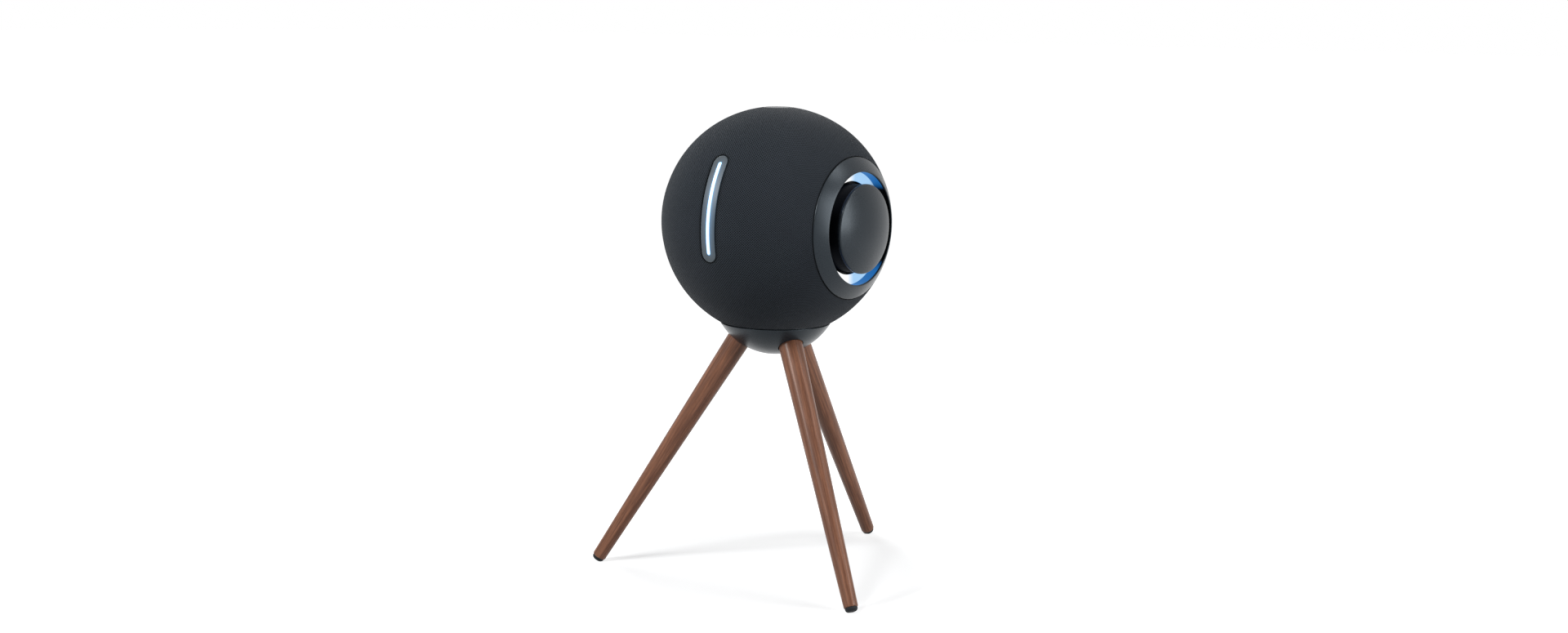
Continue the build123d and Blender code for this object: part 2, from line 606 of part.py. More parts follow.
def make_voice_coil(hand, azimuth):
    """Former with its winding, in the motor's gap."""
    low = WINDING_X - WINDING_L / 2
    coil = turned(
        azimuth,
        (COIL_R, low - FORMER_TAIL),
        (COIL_OUT_R, low - FORMER_TAIL),
        (COIL_OUT_R, low),
        (COIL_OUT_R + WINDING_T, low),
        (COIL_OUT_R + WINDING_T, low + WINDING_L),
        (COIL_OUT_R, low + WINDING_L),
        (COIL_OUT_R, FLANGE_X - CONE_DEPTH + CONE_T),
        (COIL_R, FLANGE_X - CONE_DEPTH + CONE_T),
    )
    save(coil, f"{hand}_voice_coil")


def make_surround(hand, azimuth):
    """Rubber ring with an inward roll between the piston's lip and the basket's flange."""
    inside = SURROUND_ROLL - SURROUND_T
    with BuildPart() as surround:
        with BuildSketch(section(azimuth)):
            with BuildLine():
                ThreePointArc(
                    (ROLL_IN_R, FLANGE_X),
                    (ROLL_MID_R, FLANGE_X - SURROUND_ROLL),
                    (ROLL_OUT_R, FLANGE_X),
                )
                Polyline(
                    (ROLL_OUT_R, FLANGE_X),
                    (LIGHT_R - GLUE_GAP, FLANGE_X),
                    (LIGHT_R - GLUE_GAP, EDGE_X),
                    (ROLL_MID_R + inside, EDGE_X),
                    (ROLL_MID_R + inside, FLANGE_X),
                )
                ThreePointArc(
                    (ROLL_MID_R + inside, FLANGE_X),
                    (ROLL_MID_R, FLANGE_X - inside),
                    (ROLL_MID_R - inside, FLANGE_X),
                )
                Polyline(
                    (ROLL_MID_R - inside, FLANGE_X),
                    (ROLL_MID_R - inside, EDGE_X),
                    (PISTON_R + FIT, EDGE_X),
                    (PISTON_R + FIT, FLANGE_X),
                    (ROLL_IN_R, FLANGE_X),
                )
            make_face()
        revolve(axis=Axis(CENTRE, aim(azimuth)))
    save(surround, f"{hand}_surround")


def make_spider(hand, azimuth):
    """Cloth disc that centres the coil on the basket's ledge."""
    spider = turned(
        azimuth,
        (COIL_OUT_R + FIT, SPIDER_X),
        (SPIDER_R, SPIDER_X),
        (SPIDER_R, SPIDER_X + SPIDER_T),
        (COIL_OUT_R + FIT, SPIDER_X + SPIDER_T),
    )
    save(spider, f"{hand}_spider")


def make_basket(hand, azimuth):
    """Frame of the woofer: flange, windowed wall, spider ledge and floor."""
    ledge_r = SPIDER_R + GLUE_GAP
    floor_x = TOP_PLATE_X + BASKET_FLOOR_T
    bore_r = TOP_PLATE_BORE_R + COIL_GAP
    with BuildPart() as basket:
        with BuildSketch(section(azimuth)):
            with BuildLine():
                Polyline(
                    (FLANGE_R, SEAT_X),
                    (FLANGE_R, FLANGE_X),
                    (BASKET_MOUTH_R, FLANGE_X),
                    (BASKET_MOUTH_R, SEAT_X),
                    (ledge_r, SPIDER_X + FLANGE_T),
                    (ledge_r, SPIDER_X),
                    (ledge_r - SPIDER_LEDGE, SPIDER_X),
                    (ledge_r - 2 * SPIDER_LEDGE, floor_x),
                    (bore_r, floor_x),
                    (bore_r, TOP_PLATE_X),
                    (MOTOR_R, TOP_PLATE_X),
                    (ledge_r + BASKET_WALL, SPIDER_X),
                    (BASKET_R, SEAT_X - BASKET_WALL),
                    (BASKET_R, SEAT_X),
                    close=True,
                )
            make_face()
        revolve(axis=Axis(CENTRE, aim(azimuth)))
        with Locations(face(azimuth, (SEAT_X + SPIDER_X) / 2)):
            with PolarLocations(BASKET_R, BASKET_WINDOWS):
                Box(BASKET_R - ledge_r + 2 * BASKET_WALL, WINDOW_WIDTH, WINDOW_HEIGHT, mode=Mode.SUBTRACT)
        with Locations(face(azimuth, FLANGE_X)):
            with PolarLocations(WOOFER_SCREW_CIRCLE, WOOFER_SCREWS):
                Cylinder(SCREW_R + SCREW_FIT, 2 * FLANGE_T, mode=Mode.SUBTRACT)
    save(basket, f"{hand}_basket")


def make_motor(hand, azimuth):
    """Top plate, ring magnet, and yoke with its pole."""
    top_plate = turned(
        azimuth,
        (TOP_PLATE_BORE_R, MAGNET_X),
        (MOTOR_R, MAGNET_X),
        (MOTOR_R, TOP_PLATE_X),
        (TOP_PLATE_BORE_R, TOP_PLATE_X),
    )
    save(top_plate, f"{hand}_top_plate")
    magnet = turned(
        azimuth,
        (TOP_PLATE_BORE_R + MAGNET_BORE_GAP, YOKE_X),
        (MOTOR_R, YOKE_X),
        (MOTOR_R, MAGNET_X),
        (TOP_PLATE_BORE_R + MAGNET_BORE_GAP, MAGNET_X),
    )
    save(magnet, f"{hand}_magnet")
    yoke = turned(
        azimuth,
        (0, YOKE_X - YOKE_T),
        (MOTOR_R, YOKE_X - YOKE_T),
        (MOTOR_R, YOKE_X),
        (COIL_R - POLE_GAP, YOKE_X),
        (COIL_R - POLE_GAP, TOP_PLATE_X),
        (0, TOP_PLATE_X),
    )
    save(yoke, f"{hand}_yoke")


for hand, azimuth in SIDES.items():
    make_trim_ring(hand, azimuth)
    make_light_ring(hand, azimuth)
    make_light_board(hand, azimuth)
    make_dome(hand, azimuth)
    make_piston(hand, azimuth)
    make_voice_coil(hand, azimuth)
    make_surround(hand, azimuth)
    make_spider(hand, azimuth)
    make_basket(hand, azimuth)
    make_motor(hand, azimuth)

# Screws of both woofers
with BuildPart() as woofer_screws:
    with Locations(*[face(azimuth, FLANGE_X) for azimuth in SIDES.values()]):
        with PolarLocations(WOOFER_SCREW_CIRCLE, WOOFER_SCREWS):
            Cylinder(SCREW_HEAD_R, SCREW_HEAD_T, align=BASE)
            Cylinder(SCREW_R, WOOFER_SCREW_L, align=HANGING)
save(woofer_screws, "woofer_screws")


def make_tweeter(hand, azimuth):
    """Small driver: a frame with a closed back and a slot for the coil, and the dome that moves in it."""
    slot_in_r = TWEETER_DOME_R - TWEETER_DOME_T - TWEETER_SLOT_GAP
    slot_out_r = TWEETER_DOME_R + TWEETER_SLOT_GAP
    frame = turned(
        azimuth,
        (0, TWEETER_SEAT - TWEETER_L),
        (TWEETER_R, TWEETER_SEAT - TWEETER_L),
        (TWEETER_R, TWEETER_SEAT),
        (TWEETER_FLANGE_R, TWEETER_SEAT),
        (TWEETER_FLANGE_R, TWEETER_SEAT + TWEETER_FLANGE_T),
        (TWEETER_MOUTH_R, TWEETER_SEAT + TWEETER_FLANGE_T),
        (TWEETER_MOUTH_R, TWEETER_MOUTH),
        (slot_out_r, TWEETER_MOUTH),
        (slot_out_r, TWEETER_MOUTH - TWEETER_SLOT_L),
        (slot_in_r, TWEETER_MOUTH - TWEETER_SLOT_L),
        (slot_in_r, TWEETER_MOUTH),
        (0, TWEETER_MOUTH),
    )
    save(frame, f"{hand}_tweeter_frame")

    edge = TWEETER_MOUTH + TWEETER_DOME_RISE
    centre = edge - rise(TWEETER_DOME_CURVE, TWEETER_DOME_R)
    inner_r = TWEETER_DOME_R - TWEETER_DOME_T
    inner_curve = TWEETER_DOME_CURVE - TWEETER_DOME_T
    half_r = TWEETER_DOME_R / 2
    with BuildPart() as dome:
        with BuildSketch(section(azimuth)):
            with BuildLine():
                skirt = Polyline(
                    (TWEETER_DOME_R, edge),
                    (TWEETER_DOME_R, TWEETER_MOUTH - TWEETER_FORMER_L),
                    (inner_r, TWEETER_MOUTH - TWEETER_FORMER_L),
                    (inner_r, centre + rise(inner_curve, inner_r)),
                )
                ThreePointArc(
                    skirt @ 1,
                    (half_r, centre + rise(inner_curve, half_r)),
                    (0, centre + inner_curve),
                )
                Line((0, centre + inner_curve), (0, centre + TWEETER_DOME_CURVE))
                ThreePointArc(
                    (0, centre + TWEETER_DOME_CURVE),
                    (half_r, centre + rise(TWEETER_DOME_CURVE, half_r)),
                    skirt @ 0,
                )
            make_face()
        revolve(axis=Axis(CENTRE, aim(azimuth)))
    save(dome, f"{hand}_tweeter_dome")


for hand, azimuth in TWEETERS.items():
    make_tweeter(hand, azimuth)

# Light bar: bezel with a flange behind the grille, diffuser strip, and curved board
with BuildPart(BALL) as light_bar_bezel:
    with BuildSketch(BAR):
        SlotOverall(BAR_LENGTH + 2 * BAR_FLANGE, BAR_WIDTH + 2 * BAR_FLANGE, rotation=90)
    extrude(amount=BALL_R)
    Sphere(GRILLE_IN_R - GLUE_GAP, mode=Mode.INTERSECT)
    with BuildSketch(BAR):
        SlotOverall(BAR_LENGTH, BAR_WIDTH, rotation=90)
    extrude(amount=BALL_D)
    Sphere(BALL_R, mode=Mode.INTERSECT)
    Sphere(BAR_BACK_R, mode=Mode.SUBTRACT)
    with BuildSketch(BAR):
        SlotOverall(STRIP_LENGTH + 2 * STRIP_FIT, STRIP_WIDTH + 2 * STRIP_FIT, rotation=90)
    extrude(amount=BALL_D, mode=Mode.SUBTRACT)
save(light_bar_bezel, "light_bar_bezel")

with BuildPart(BALL) as light_bar_diffuser:
    with BuildSketch(BAR):
        SlotOverall(STRIP_LENGTH + 2 * STRIP_FLANGE, STRIP_WIDTH + 2 * STRIP_FLANGE, rotation=90)
    extrude(amount=BALL_R)
    Sphere(STRIP_R, mode=Mode.INTERSECT)
    with BuildSketch(BAR):
        SlotOverall(STRIP_LENGTH, STRIP_WIDTH, rotation=90)
    extrude(amount=BALL_D)
    Sphere(BALL_R - STRIP_SETBACK, mode=Mode.INTERSECT)
    Sphere(STRIP_BACK_R, mode=Mode.SUBTRACT)
save(light_bar_diffuser, "light_bar_diffuser")

with BuildPart(BALL) as light_bar_board:
    with BuildSketch(BAR):
        SlotOverall(STRIP_LENGTH + 2 * STRIP_FLANGE, STRIP_WIDTH + 2 * STRIP_FLANGE, rotation=90)
    extrude(amount=BALL_R)
    Sphere(STRIP_BACK_R - BAR_LAYER_GAP, mode=Mode.INTERSECT)
    Sphere(CABINET_R + GLUE_GAP, mode=Mode.SUBTRACT)
save(light_bar_board, "light_bar_board")

# Button group at the top: board on the cabinet, switch, collar and button
with BuildPart(Plane.XY.offset(CAP_Z)) as control_board:
    Cylinder(CONTROL_BOARD_R, BOARD_T, align=BASE)
save(control_board, "control_board")

with BuildPart(Plane.XY.offset(CONTROL_TOP_Z)) as top_switch:
    Box(SWITCH_SIZE, SWITCH_SIZE, SWITCH_H, align=BASE)
    with Locations((0, 0, SWITCH_FLOOR_T)):
        Cylinder(STEM_R + STEM_FIT, SWITCH_H, align=BASE, mode=Mode.SUBTRACT)
save(top_switch, "top_switch")

with BuildPart(BALL) as top_bezel:
    with Locations((0, 0, COLLAR_SEAT_Z - COLLAR_WEB_T - BALL_HEIGHT)):
        Cylinder(COLLAR_R, BALL_R, align=BASE)
    Sphere(BALL_R, mode=Mode.INTERSECT)
    with Locations((0, 0, CONTROL_TOP_Z - BALL_HEIGHT)):
        Cylinder(COLLAR_TUBE_R, COLLAR_SEAT_Z - CONTROL_TOP_Z, align=BASE)
        Cylinder(
            COLLAR_TUBE_R - COLLAR_TUBE_WALL,
            COLLAR_SEAT_Z - COLLAR_WEB_T - CONTROL_TOP_Z,
            align=BASE,
            mode=Mode.SUBTRACT,
        )
    Cylinder(BUTTON_R + BUTTON_GAP, BALL_D, mode=Mode.SUBTRACT)
    with PolarLocations(COLLAR_R - COLLAR_T / 2, SOUND_HOLES):
        Cylinder(SOUND_HOLE_R, BALL_D, mode=Mode.SUBTRACT)
save(top_bezel, "top_bezel")

with BuildPart(Plane.XY.offset(BUTTON_TOP_Z)) as top_button:
    Cylinder(BUTTON_R, BUTTON_T, align=HANGING)
    fillet(top_button.edges().group_by(Axis.Z)[-1], BUTTON_ROUND)
    Cylinder(STEM_R, BUTTON_TOP_Z - STEM_END_Z, align=HANGING)
save(top_button, "top_button")

# Hub inside the cup: plate, sockets for the legs, tube for the nut, posts up to the cabinet
with BuildPart() as leg_hub:
    with Locations((0, 0, HUB_Z)):
        Cylinder(HUB_R, HUB_T, align=BASE)
        Cylinder(HUB_BORE_R + HUB_TUBE_WALL, HUB_Z - CUP_BOSS_Z, align=HANGING)
    with Locations(*[leg_plane(azimuth, SOCKET_START_S) for azimuth in LEG_AZIMUTHS.values()]):
        Cylinder(SOCKET_R, SOCKET_END_S - SOCKET_START_S, align=BASE)
    with Locations((0, 0, HUB_TOP_Z)):
        Cylinder(2 * HUB_R, BALL_R, align=BASE, mode=Mode.SUBTRACT)
        Cylinder(HUB_BORE_R, BALL_R, align=HANGING, mode=Mode.SUBTRACT)
        with PolarLocations(HUB_SCREW_CIRCLE, HUB_SCREWS):
            Cylinder(POST_R, BOARD_LIFT, align=BASE)
            Cylinder(POST_NECK_R, BAY_HEIGHT, align=BASE)
            Cylinder(SCREW_R + SCREW_FIT, 2 * BALL_R, mode=Mode.SUBTRACT)
    with Locations(*[leg_plane(azimuth, LEG_TOP_S) for azimuth in LEG_AZIMUTHS.values()]):
        Cylinder(LEG_TOP_R + LEG_SOCKET_FIT, LEG_L, align=BASE, mode=Mode.SUBTRACT)
        Cylinder(STUD_R + SCREW_FIT, STUD_IN_HUB + STUD_TIP_GAP, align=HANGING, mode=Mode.SUBTRACT)
save(leg_hub, "leg_hub")

# Threaded studs from the hub into the legs
with BuildPart() as leg_studs:
    with Locations(*[leg_plane(azimuth, LEG_TOP_S) for azimuth in LEG_AZIMUTHS.values()]):
        Cylinder(STUD_R, STUD_IN_LEG, align=BASE)
        Cylinder(STUD_R, STUD_IN_HUB, align=HANGING)
save(leg_studs, "leg_studs")

# Screws from under the hub through its posts into the cabinet's floor
with BuildPart(Plane.XY.offset(HUB_Z)) as hub_screws:
    with PolarLocations(HUB_SCREW_CIRCLE, HUB_SCREWS):
        Cylinder(SCREW_HEAD_R, SCREW_HEAD_T, align=HANGING)
        Cylinder(SCREW_R, HUB_T + BAY_HEIGHT + CABINET_WALL, align=BASE)
save(hub_screws, "hub_screws")

# Cup with its clamping lip, boss and leg holes
with BuildPart() as base_cup:
    with Locations((0, 0, CUP_Z)):
        Sphere(CUP_R)
        Sphere(CUP_R - CUP_T, mode=Mode.SUBTRACT)
    with Locations((0, 0, SEAM_Z - SEAM_GAP)):
        Cylinder(CUP_R, 2 * CUP_R, align=BASE, mode=Mode.SUBTRACT)
    fillet(base_cup.edges().group_by(Axis.Z)[-1], CUP_RIM_ROUND)
    with Locations((0, 0, SEAM_Z - CUP_LIP_ROOT)):
        Cylinder(CUP_LIP_R, CUP_LIP_ROOT + CLAMP_LIFT, align=BASE)
        Cylinder(CUP_LIP_R - CUP_LIP_T, CUP_LIP_ROOT + CLAMP_LIFT, align=BASE, mode=Mode.SUBTRACT)
    with Locations((0, 0, CUP_FLAT_Z + CUP_BOSS_ROOT)):
        Cylinder(CUP_BOSS_R, CUP_BOSS_T - CUP_BOSS_ROOT, align=BASE)
    with Locations((0, 0, CUP_FLAT_Z)):
        Cylinder(CUP_R, CUP_R, align=HANGING, mode=Mode.SUBTRACT)
        Cylinder(NUT_R + NUT_GAP, NUT_T, align=BASE, mode=Mode.SUBTRACT)
        Cylinder(HUB_BORE_R, 2 * CUP_BOSS_T, align=BASE, mode=Mode.SUBTRACT)
    with Locations(*[leg_plane(azimuth, LEG_TOP_S) for azimuth in LEG_AZIMUTHS.values()]):
        Cylinder(LEG_TOP_R + LEG_HOLE_GAP, LEG_L, align=BASE, mode=Mode.SUBTRACT)
save(base_cup, "base_cup")

# Nut that clamps the cup, with the power inlet in its bore
with BuildPart(Plane.XY.offset(CUP_FLAT_Z)) as base_nut:
    Cylinder(NUT_R, NUT_T, align=BASE)
    Cylinder(NUT_NECK_R, NUT_T + NUT_NECK_L, align=BASE)
    Cylinder(INLET_R + FIT, 2 * (NUT_T + NUT_NECK_L), align=BASE, mode=Mode.SUBTRACT)
save(base_nut, "base_nut")

with BuildPart(Plane.XY.offset(CUP_FLAT_Z)) as power_inlet:
    Cylinder(INLET_R, INLET_L, align=BASE)
    Cylinder(INLET_NOSE_R, INLET_NOSE_L, align=HANGING)
    with Locations((0, 0, -INLET_NOSE_L)):
        Cylinder(INLET_BORE_R, INLET_BORE_L, align=BASE, mode=Mode.SUBTRACT)
    with Locations((0, 0, INLET_BORE_L - INLET_NOSE_L)):
        Cylinder(INLET_PIN_R, INLET_PIN_L, align=HANGING)
save(power_inlet, "power_inlet")

# Electronics on the hub's posts, and the lead up from the inlet
with BuildPart(Plane.XY.offset(BOARD_Z)) as main_board:
    Cylinder(MAIN_BOARD_R, BOARD_T, align=BASE)
    with PolarLocations(HUB_SCREW_CIRCLE, HUB_SCREWS):
        Cylinder(POST_NECK_R + GLUE_GAP, 2 * BOARD_T, mode=Mode.SUBTRACT)
save(main_board, "main_board")

with BuildPart(Plane.XY.offset(BOARD_Z + BOARD_T)) as heat_sink:
    with Locations((0, SINK_Y)):
        Box(*SINK_SIZE, SINK_BASE_T, align=BASE)
    with Locations((0, SINK_Y, SINK_BASE_T)):
        with GridLocations((SINK_SIZE[0] - SINK_FIN_T) / (SINK_FINS - 1), 0, SINK_FINS, 1):
            Box(SINK_FIN_T, SINK_SIZE[1], SINK_FIN_H, align=BASE)
save(heat_sink, "heat_sink")

with BuildPart(Plane.XY.offset(BOARD_Z + BOARD_T)) as wireless_module:
    with Locations((0, MODULE_Y)):
        Box(*MODULE_SIZE, align=BASE)
    chamfer(wireless_module.edges().group_by(Axis.Z)[-1], GLUE_GAP)
save(wireless_module, "wireless_module")

with BuildPart(Plane.XY.offset(INLET_TOP_Z)) as power_lead:
    Cylinder(LEAD_R, BOARD_Z - INLET_TOP_Z, align=BASE)
save(power_lead, "power_lead")

# Tapered wooden legs and their rounded rubber feet, cut level with the floor
for place, azimuth in LEG_AZIMUTHS.items():
    with BuildPart(leg_plane(azimuth, LEG_TOP_S)) as leg:
        Cone(LEG_TOP_R, LEG_TIP_R, LEG_L, align=BASE)
        fillet(leg.edges().filter_by(GeomType.CIRCLE).sort_by(Axis.Z)[0], LEG_EDGE)
        Cylinder(STUD_R + SCREW_FIT, STUD_IN_LEG + STUD_TIP_GAP, align=BASE, mode=Mode.SUBTRACT)
        with Locations((0, 0, LEG_L)):
            Cylinder(FOOT_PIN_R + FIT, FOOT_PIN_L + FIT, align=HANGING, mode=Mode.SUBTRACT)
    save(leg, f"leg_{place}")

    with BuildPart() as foot:
        with Locations(leg_plane(azimuth, LEG_END_S)):
            Cylinder(FOOT_R, FOOT_END_S - LEG_END_S, align=BASE)
        fillet(foot.edges().filter_by(GeomType.CIRCLE).sort_by(Axis.Z)[0], FOOT_ROUND)
        Cylinder(BALL_D, FOOT_ROUND, align=HANGING, mode=Mode.SUBTRACT)
        with Locations(leg_plane(azimuth, LEG_END_S)):
            Cylinder(FOOT_PIN_R, FOOT_PIN_L, align=HANGING)
    save(foot, f"foot_{place}")
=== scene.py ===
"""Ball-shaped smart speaker on three wooden legs: its looks, built around the packed CAD frame.

Metres, +Z up, light bar towards -Y, the origin on the floor under the ball's centre.
An azimuth is counted from the front (-Y) towards +X.
"""

from math import cos, hypot, pi, radians, sin

import bmesh
import bpy
import numpy as np
from bpy.props import FloatProperty, FloatVectorProperty, IntProperty, PointerProperty
from bpy.types import NodeSocket, Operator, Panel, PropertyGroup
from mathutils import Matrix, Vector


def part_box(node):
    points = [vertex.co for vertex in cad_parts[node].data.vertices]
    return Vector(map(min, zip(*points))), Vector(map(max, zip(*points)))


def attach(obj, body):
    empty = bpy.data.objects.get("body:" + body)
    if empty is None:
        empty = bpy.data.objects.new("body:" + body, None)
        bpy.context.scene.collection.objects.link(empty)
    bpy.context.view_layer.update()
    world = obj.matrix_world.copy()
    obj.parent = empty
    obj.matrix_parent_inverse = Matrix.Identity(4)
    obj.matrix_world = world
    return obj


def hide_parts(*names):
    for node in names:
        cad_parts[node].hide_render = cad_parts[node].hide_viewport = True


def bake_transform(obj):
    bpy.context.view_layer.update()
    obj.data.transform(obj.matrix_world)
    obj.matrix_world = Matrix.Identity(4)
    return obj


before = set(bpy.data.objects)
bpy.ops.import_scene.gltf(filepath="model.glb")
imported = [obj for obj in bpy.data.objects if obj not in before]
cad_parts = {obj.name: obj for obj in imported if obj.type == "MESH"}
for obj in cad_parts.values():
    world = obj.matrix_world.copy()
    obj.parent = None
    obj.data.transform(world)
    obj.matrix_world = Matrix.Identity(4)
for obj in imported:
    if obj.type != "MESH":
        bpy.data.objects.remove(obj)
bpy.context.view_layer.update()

bl_info = {
    "name": "Ball speaker",
    "version": (1, 0, 0),
    "blender": (4, 5, 0),
    "location": "3D View > Sidebar > Speaker",
    "description": "Dresses the packed frame of a ball-shaped speaker on three legs",
    "category": "Object",
}

MM = 0.001
IMAGE_WIDTH = 1920
MERGE = 1e-6  # points closer than this are one
SHARP = radians(40)
HANDS = {"right": 1.0, "left": -1.0}
RIGHT = np.array([1.0, 0.0, 0.0])
UP = np.array([0.0, 0.0, 1.0])
ORIGIN = np.zeros(3)
UPRIGHT = {"axis": UP, "origin": ORIGIN}
WHITE = (1.0, 1.0, 1.0)
BLACK = (0.0, 0.0, 0.0)


def mesh_points(mesh):
    """Points of a mesh, one to a row."""
    points = np.empty(3 * len(mesh.vertices), np.float32)
    mesh.vertices.foreach_get("co", points)
    return points.reshape(-1, 3).astype(float)


def reach(node, axis, origin=ORIGIN):
    """Lowest and highest distance of a CAD node's points along an axis."""
    along = (mesh_points(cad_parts[node].data) - origin) @ axis
    return float(along.min()), float(along.max())


def girth(node):
    """Radius of a node that is round about a level axis, to a tenth of a millimetre."""
    low, high = reach(node, UP)
    return round((high - low) / 2, 4)


def aim(azimuth):
    """Level unit vector towards an azimuth."""
    return np.array([sin(azimuth), -cos(azimuth), 0.0])


def rise(radius, across):
    """Height of a sphere's surface over its centre, at a distance from its axis."""
    return np.sqrt(radius**2 - np.square(across))


def srgb(*shown):
    """Linear colour of three display values from 0 to 255."""
    shown = np.array(shown) / 255
    return tuple(np.where(shown <= 0.04045, shown / 12.92, ((shown + 0.055) / 1.055) ** 2.4))


# Places that the frame gives
BALL_Z = sum(reach("right_trim_ring", UP)) / 2
SEAM_Z = reach("fabric_cover", UP)[0]
SEAM_R = 61 * MM
BALL_R = hypot(BALL_Z - SEAM_Z, SEAM_R)
CENTRE = np.array([0.0, 0.0, BALL_Z])
CAP_BASE, CAP_TOP = reach("right_dome", RIGHT)
PISTON_LOW = reach("right_piston", RIGHT)[0]
RING_LOW = reach("right_trim_ring", RIGHT)[0]
LIGHT_FOOT, LIGHT_TOP = reach("right_light_ring", RIGHT)
SURROUND_EDGE = reach("right_surround", RIGHT)[1]
SPIDER_LOW, SPIDER_HIGH = reach("right_spider", RIGHT)
CUP_FLAT, CUP_TOP = reach("base_cup", UP)
NUT_TOP = reach("base_nut", UP)[1]
INLET_LOW, INLET_TOP = reach("power_inlet", UP)
STEM_END, BUTTON_TOP = reach("top_button", UP)

# Sizes that several pieces share
SURROUND_WALL = 0.8 * MM
SURROUND_SEAT = SURROUND_EDGE - SURROUND_WALL
NECK_R = 19.7 * MM
NUT_SEAT = CUP_FLAT + 2 * MM


def size(name, description, millimetres):
    """Length, given in millimetres."""
    values = {"default": millimetres * MM, "min": 0.0, "precision": 5, "unit": "LENGTH"}
    return FloatProperty(name=name, description=description, **values)


def angle(name, description, degrees):
    """Angle, given in degrees."""
    values = {"default": radians(degrees), "subtype": "ANGLE", "unit": "ROTATION"}
    return FloatProperty(name=name, description=description, **values)


def tint(name, description, *shown):
    """Colour, given as three display values."""
    values = {"default": srgb(*shown), "min": 0.0, "max": 1.0, "size": 3, "subtype": "COLOR"}
    return FloatVectorProperty(name=name, description=description, **values)


def amount(name, description, default, **kind):
    """Number from 0 up, with a unit or subtype where one fits."""
    return FloatProperty(name=name, description=description, default=default, min=0.0, **kind)


class BallSizes(PropertyGroup):
    """Ball, its fabric and the seam above the cup."""

    radius: size("Ball radius", "Outside of the fabric", BALL_R / MM)
    seam: size("Seam radius", "Lower edge of the fabric", SEAM_R / MM)
    cloth: size("Cloth", "Thickness of the fabric", 0.8)
    hem: size("Hem", "Round of the fabric's edges", 0.45)
    cells: IntProperty(name="Cells", description="Mesh cells round the ball", default=280, min=8)
    gap: size("Gap", "Between the fabric and the light bar", 0.5)


class SideSizes(PropertyGroup):
    """Ring, lit recess and cap on each side."""

    cap: size("Cap radius", "Round cap that moves", girth("right_dome") / MM)
    cap_round: size("Cap round", "Round of the cap's edge", 1.8)
    wall: size("Wall", "Thickness of the cap and its skirt", 1.8)
    recess: size("Recess", "Width of the lit recess", 12.4)
    depth: size("Depth", "Depth of the lit recess", 13.8)
    band: size("Band", "Visible width of the ring", 15.4)
    proud: size("Proud", "How far the ring stands out of the ball", 0.3)
    lip: size("Lip", "Thickness of the ring's inner lip", 2.2)
    lip_round: size("Lip round", "Round of the ring's inner edge", 0.8)
    opening_gap: size("Opening gap", "Fabric to the ring", 0.35)


class BarSizes(PropertyGroup):
    """Light bar at the front."""

    latitude: angle("Latitude", "Middle of the bar over the ball's equator", 11.2)
    strip_length: size("Strip length", "Lit strip, straight across", 98.3)
    strip_width: size("Strip width", "Lit strip", 4.5)
    length: size("Bezel length", "Bezel, straight across", 112.7)
    width: size("Bezel width", "Bezel", 17.5)
    setback: size("Setback", "The strip's face behind the bezel's", 0.3)


class TopSizes(PropertyGroup):
    """Button at the top."""

    button: size("Button radius", "Round button", 13.1)
    thickness: size("Thickness", "Button's plate", 3)
    edge: size("Edge", "Round of the button's edge", 0.5)
    dish: size("Dish", "Hollow for the finger", 0.25)
    stem: size("Stem radius", "Stem down to the switch", 2)
    opening: size("Opening", "Radius of the fabric's opening at the top", 16.4)


class CupSizes(PropertyGroup):
    """Cup under the ball, its nut and the power inlet."""

    depth: size("Depth", "Seam to the lowest point of the cup's sphere", 35.8)
    wall: size("Wall", "Thickness of the cup", 3)
    seam_gap: size("Seam gap", "Shadow gap under the fabric", 1)
    rim_round: size("Rim round", "Round of the cup's rim", 0.6)
    nut: size("Nut radius", "Edge of the nut", 9.3)
    nut_gap: size("Nut gap", "Nut to cup", 0.2)
    inlet: size("Inlet radius", "Body of the power inlet", 6)
    nose: size("Nose radius", "Rim of the power inlet's mouth", 4.2)
    mouth: size("Mouth radius", "Bore of the power inlet", 3.2)


class LegSizes(PropertyGroup):
    """Wooden legs and rubber feet."""

    tilt: angle("Tilt", "From the vertical", 31.8)
    apex: size("Apex", "The leg axes meet this far over the cup's centre", 9.3)
    top: size("Top radius", "Upper end of the wood", 13.35)
    tip: size("Tip radius", "Lower end of the wood", 7.6)
    insert: size("Insert", "Length of leg inside the cup", 15)
    hole_gap: size("Hole gap", "Leg to the cup's hole", 0.55)
    edge: size("Edge", "Round of the wood's lower end", 1.5)
    foot_lift: size("Foot lift", "Floor to the wood's lower corner, before its round", 1.2)
    foot_inset: size("Foot inset", "The wood's side to the foot's", 0.9)
    foot_round: size("Foot round", "Round of the foot's lower edge", 3.3)
    foot_flat: size("Foot flat", "The floor cuts this much off the foot's round", 0.6)


class Finishes(PropertyGroup):
    """Colours of the finishes that show."""

    yarn: tint("Yarn", "Threads of the fabric", 49, 54, 60)
    mesh_hole: tint("Mesh hole", "Gaps between the threads", 7, 9, 11)
    charcoal: tint("Charcoal", "Ring, cap, cup and button", 20, 25, 30)
    bezel: tint("Bezel", "Frame of the light bar", 66, 74, 80)
    black: tint("Black", "Skirt under the cap, and inner mouldings", 6, 8, 12)
    rubber: tint("Rubber", "Feet and surrounds", 22, 25, 28)
    wood_dark: tint("Dark grain", "Walnut's late growth", 74, 43, 29)
    wood_mid: tint("Wood", "Walnut's body", 118, 75, 54)
    wood_light: tint("Light grain", "Walnut's early growth", 152, 105, 79)
    strip: tint("Strip", "Core of the light bar", 255, 255, 255)
    strip_edge: tint("Strip edge", "Edge of the light bar", 128, 190, 246)
    lit_floor: tint("Lit floor", "Floor of the recess", 165, 207, 245)
    lit_wall: tint("Lit wall", "Wall of the recess", 28, 100, 170)


